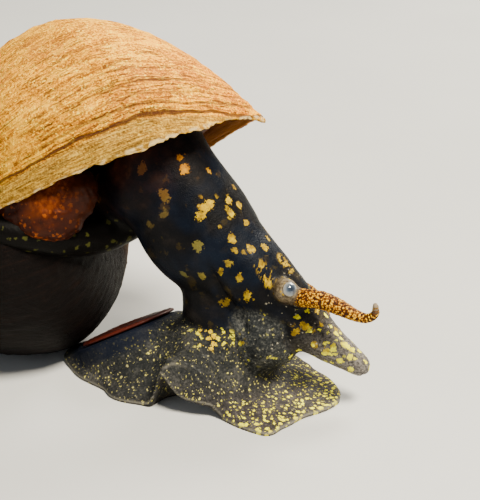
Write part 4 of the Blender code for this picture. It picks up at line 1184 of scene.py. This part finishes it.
def buildMantle():
    angle = np.linspace(0, twoPi, 120, endpoint=False)
    back = mantleShape["setBack"]
    stations = ((-0.2, 1.6), (-0.17, 1.0), (-0.13, 1.0), (-0.09, 1.0), (-back - 0.02, 1.0),
                (-back - 0.008, 1.1), (-back, 1.5), (-back + 0.003, 2.2))
    rings = [whorlRing(turn, angle, inset) for turn, inset in stations]
    last = rings[-1]
    for shrink in (0.75, 0.5, 0.25):
        rings.append(last.mean(axis=0) + (last - last.mean(axis=0)) * shrink)
    pad = loft("pad", rings, rings[0].mean(axis=0), rings[-1].mean(axis=0))
    ahead = mantleShape["sacLong"]
    normal = unit(mantleShape["sacNormal"] - ahead * (mantleShape["sacNormal"] @ ahead))
    tilt = np.stack([ahead, normal, np.cross(ahead, normal)], 1)
    sac = ball("sac", *mantleShape["sac"], tilt, 60, 40)
    piece = weld("mantle_pad", [pad, sac, ball("root", *mantleShape["root"])], 0.22, 6)
    points = spots(piece)
    local = (points - mantleShape["sac"][0]) @ tilt / mantleShape["sac"][1]
    root = (points - mantleShape["root"][0]) / mantleShape["root"][1]
    near = np.minimum(lengths(local), lengths(root))
    isSac = ease(-near, -1.35, -1.05)
    setSpots(piece, holdInside(points, mantleShape["inside"]))
    soften(piece, 34, 0.25 + 0.75 * isSac)
    outward = normals(piece)
    ruffle = (0.07 * ripple(local[:, 0] * 11, local[:, 2] * 9, 71, 7, 0.4, 1.6)
              + 0.03 * ripple(local[:, 0] * 30, local[:, 2] * 26, 72, 9, 0.4, 1.5))
    setSpots(piece, spots(piece) + outward * (ruffle * isSac)[:, None])
    low = ease(-local[:, 2] * np.sign(tilt[2, 2]), 0.3, 1.0) * ease(-lengths(local), -1.4, -1.1)
    paint(piece, "sacMarks", np.stack([isSac, low, ease(points[:, 0], 3.9, 6.2)], 1))
    paint(piece, "sacGlow", ease(-lengths(points - mantleShape["glow"]), -3.6, -0.8))
    return piece


def mantleSurface():
    s = Shade("mantle_flesh", Roughness=0.5, Coat_Weight=0.04, Coat_Roughness=0.2)
    s.surface.inputs["Specular IOR Level"].default_value = 0.08
    place = s.place()
    isSac, low, right = s.parts("sacMarks")
    mottle = s.cloud(place, 0.35, 4.0, 0.6)
    dark = s.ramp(mottle, (0.35, 0.03, 0.008, 0.004), (0.6, 0.09, 0.022, 0.008), (0.75, 0.16, 0.04, 0.012))
    dull = s.blotches(place, 1.9, 0.34, 0.4, 0.6)
    dark = s.mix(dull * 0.6, dark, (0.1, 0.034, 0.008))
    body = s.ramp(mottle, (0.34, 0.009, 0.0012, 0.0002), (0.5, 0.026, 0.0036, 0.0002),
                  (0.66, 0.06, 0.0105, 0.0004))
    lit = (s.ease(s.cloud(place, 0.3, 3.0), 0.36, 0.6) * 0.5 + 0.5) * s.number("sacGlow")
    fibres = s.cloud(s.stretch(place, (1.0, 1.0, 0.6)), 2.2, 4.0, 0.7)
    body = s.mix(lit * 0.8, body,
                 s.ramp(mottle * 0.4 + fibres * 0.6, (0.38, 0.045, 0.0065, 0.0005),
                        (0.5, 0.16, 0.026, 0.0008), (0.6, 0.36, 0.075, 0.0015)))
    body = s.mix(right * 0.85, body, (0.02, 0.0038, 0.001))
    flecks = (s.blotches(s.stretch(place, (0.8, 1.0, 0.8)), 0.36, 0.34, low * 0.46 + 0.46, 0.6)
              * (1 - right * 0.85))
    body = s.mix(flecks * (low * 0.55 + 0.35), body,
                 s.ramp(s.cloud(place, 1.4, 2.0), (0.38, 0.11, 0.014, 0.0004), (0.62, 0.44, 0.098, 0.001)))
    s.colour = s.mix(isSac, dark, body)
    return s.finish(height=mottle + flecks * 0.5, strength=0.45)


dress(buildMantle(), mantleSurface(), ("mantle",))
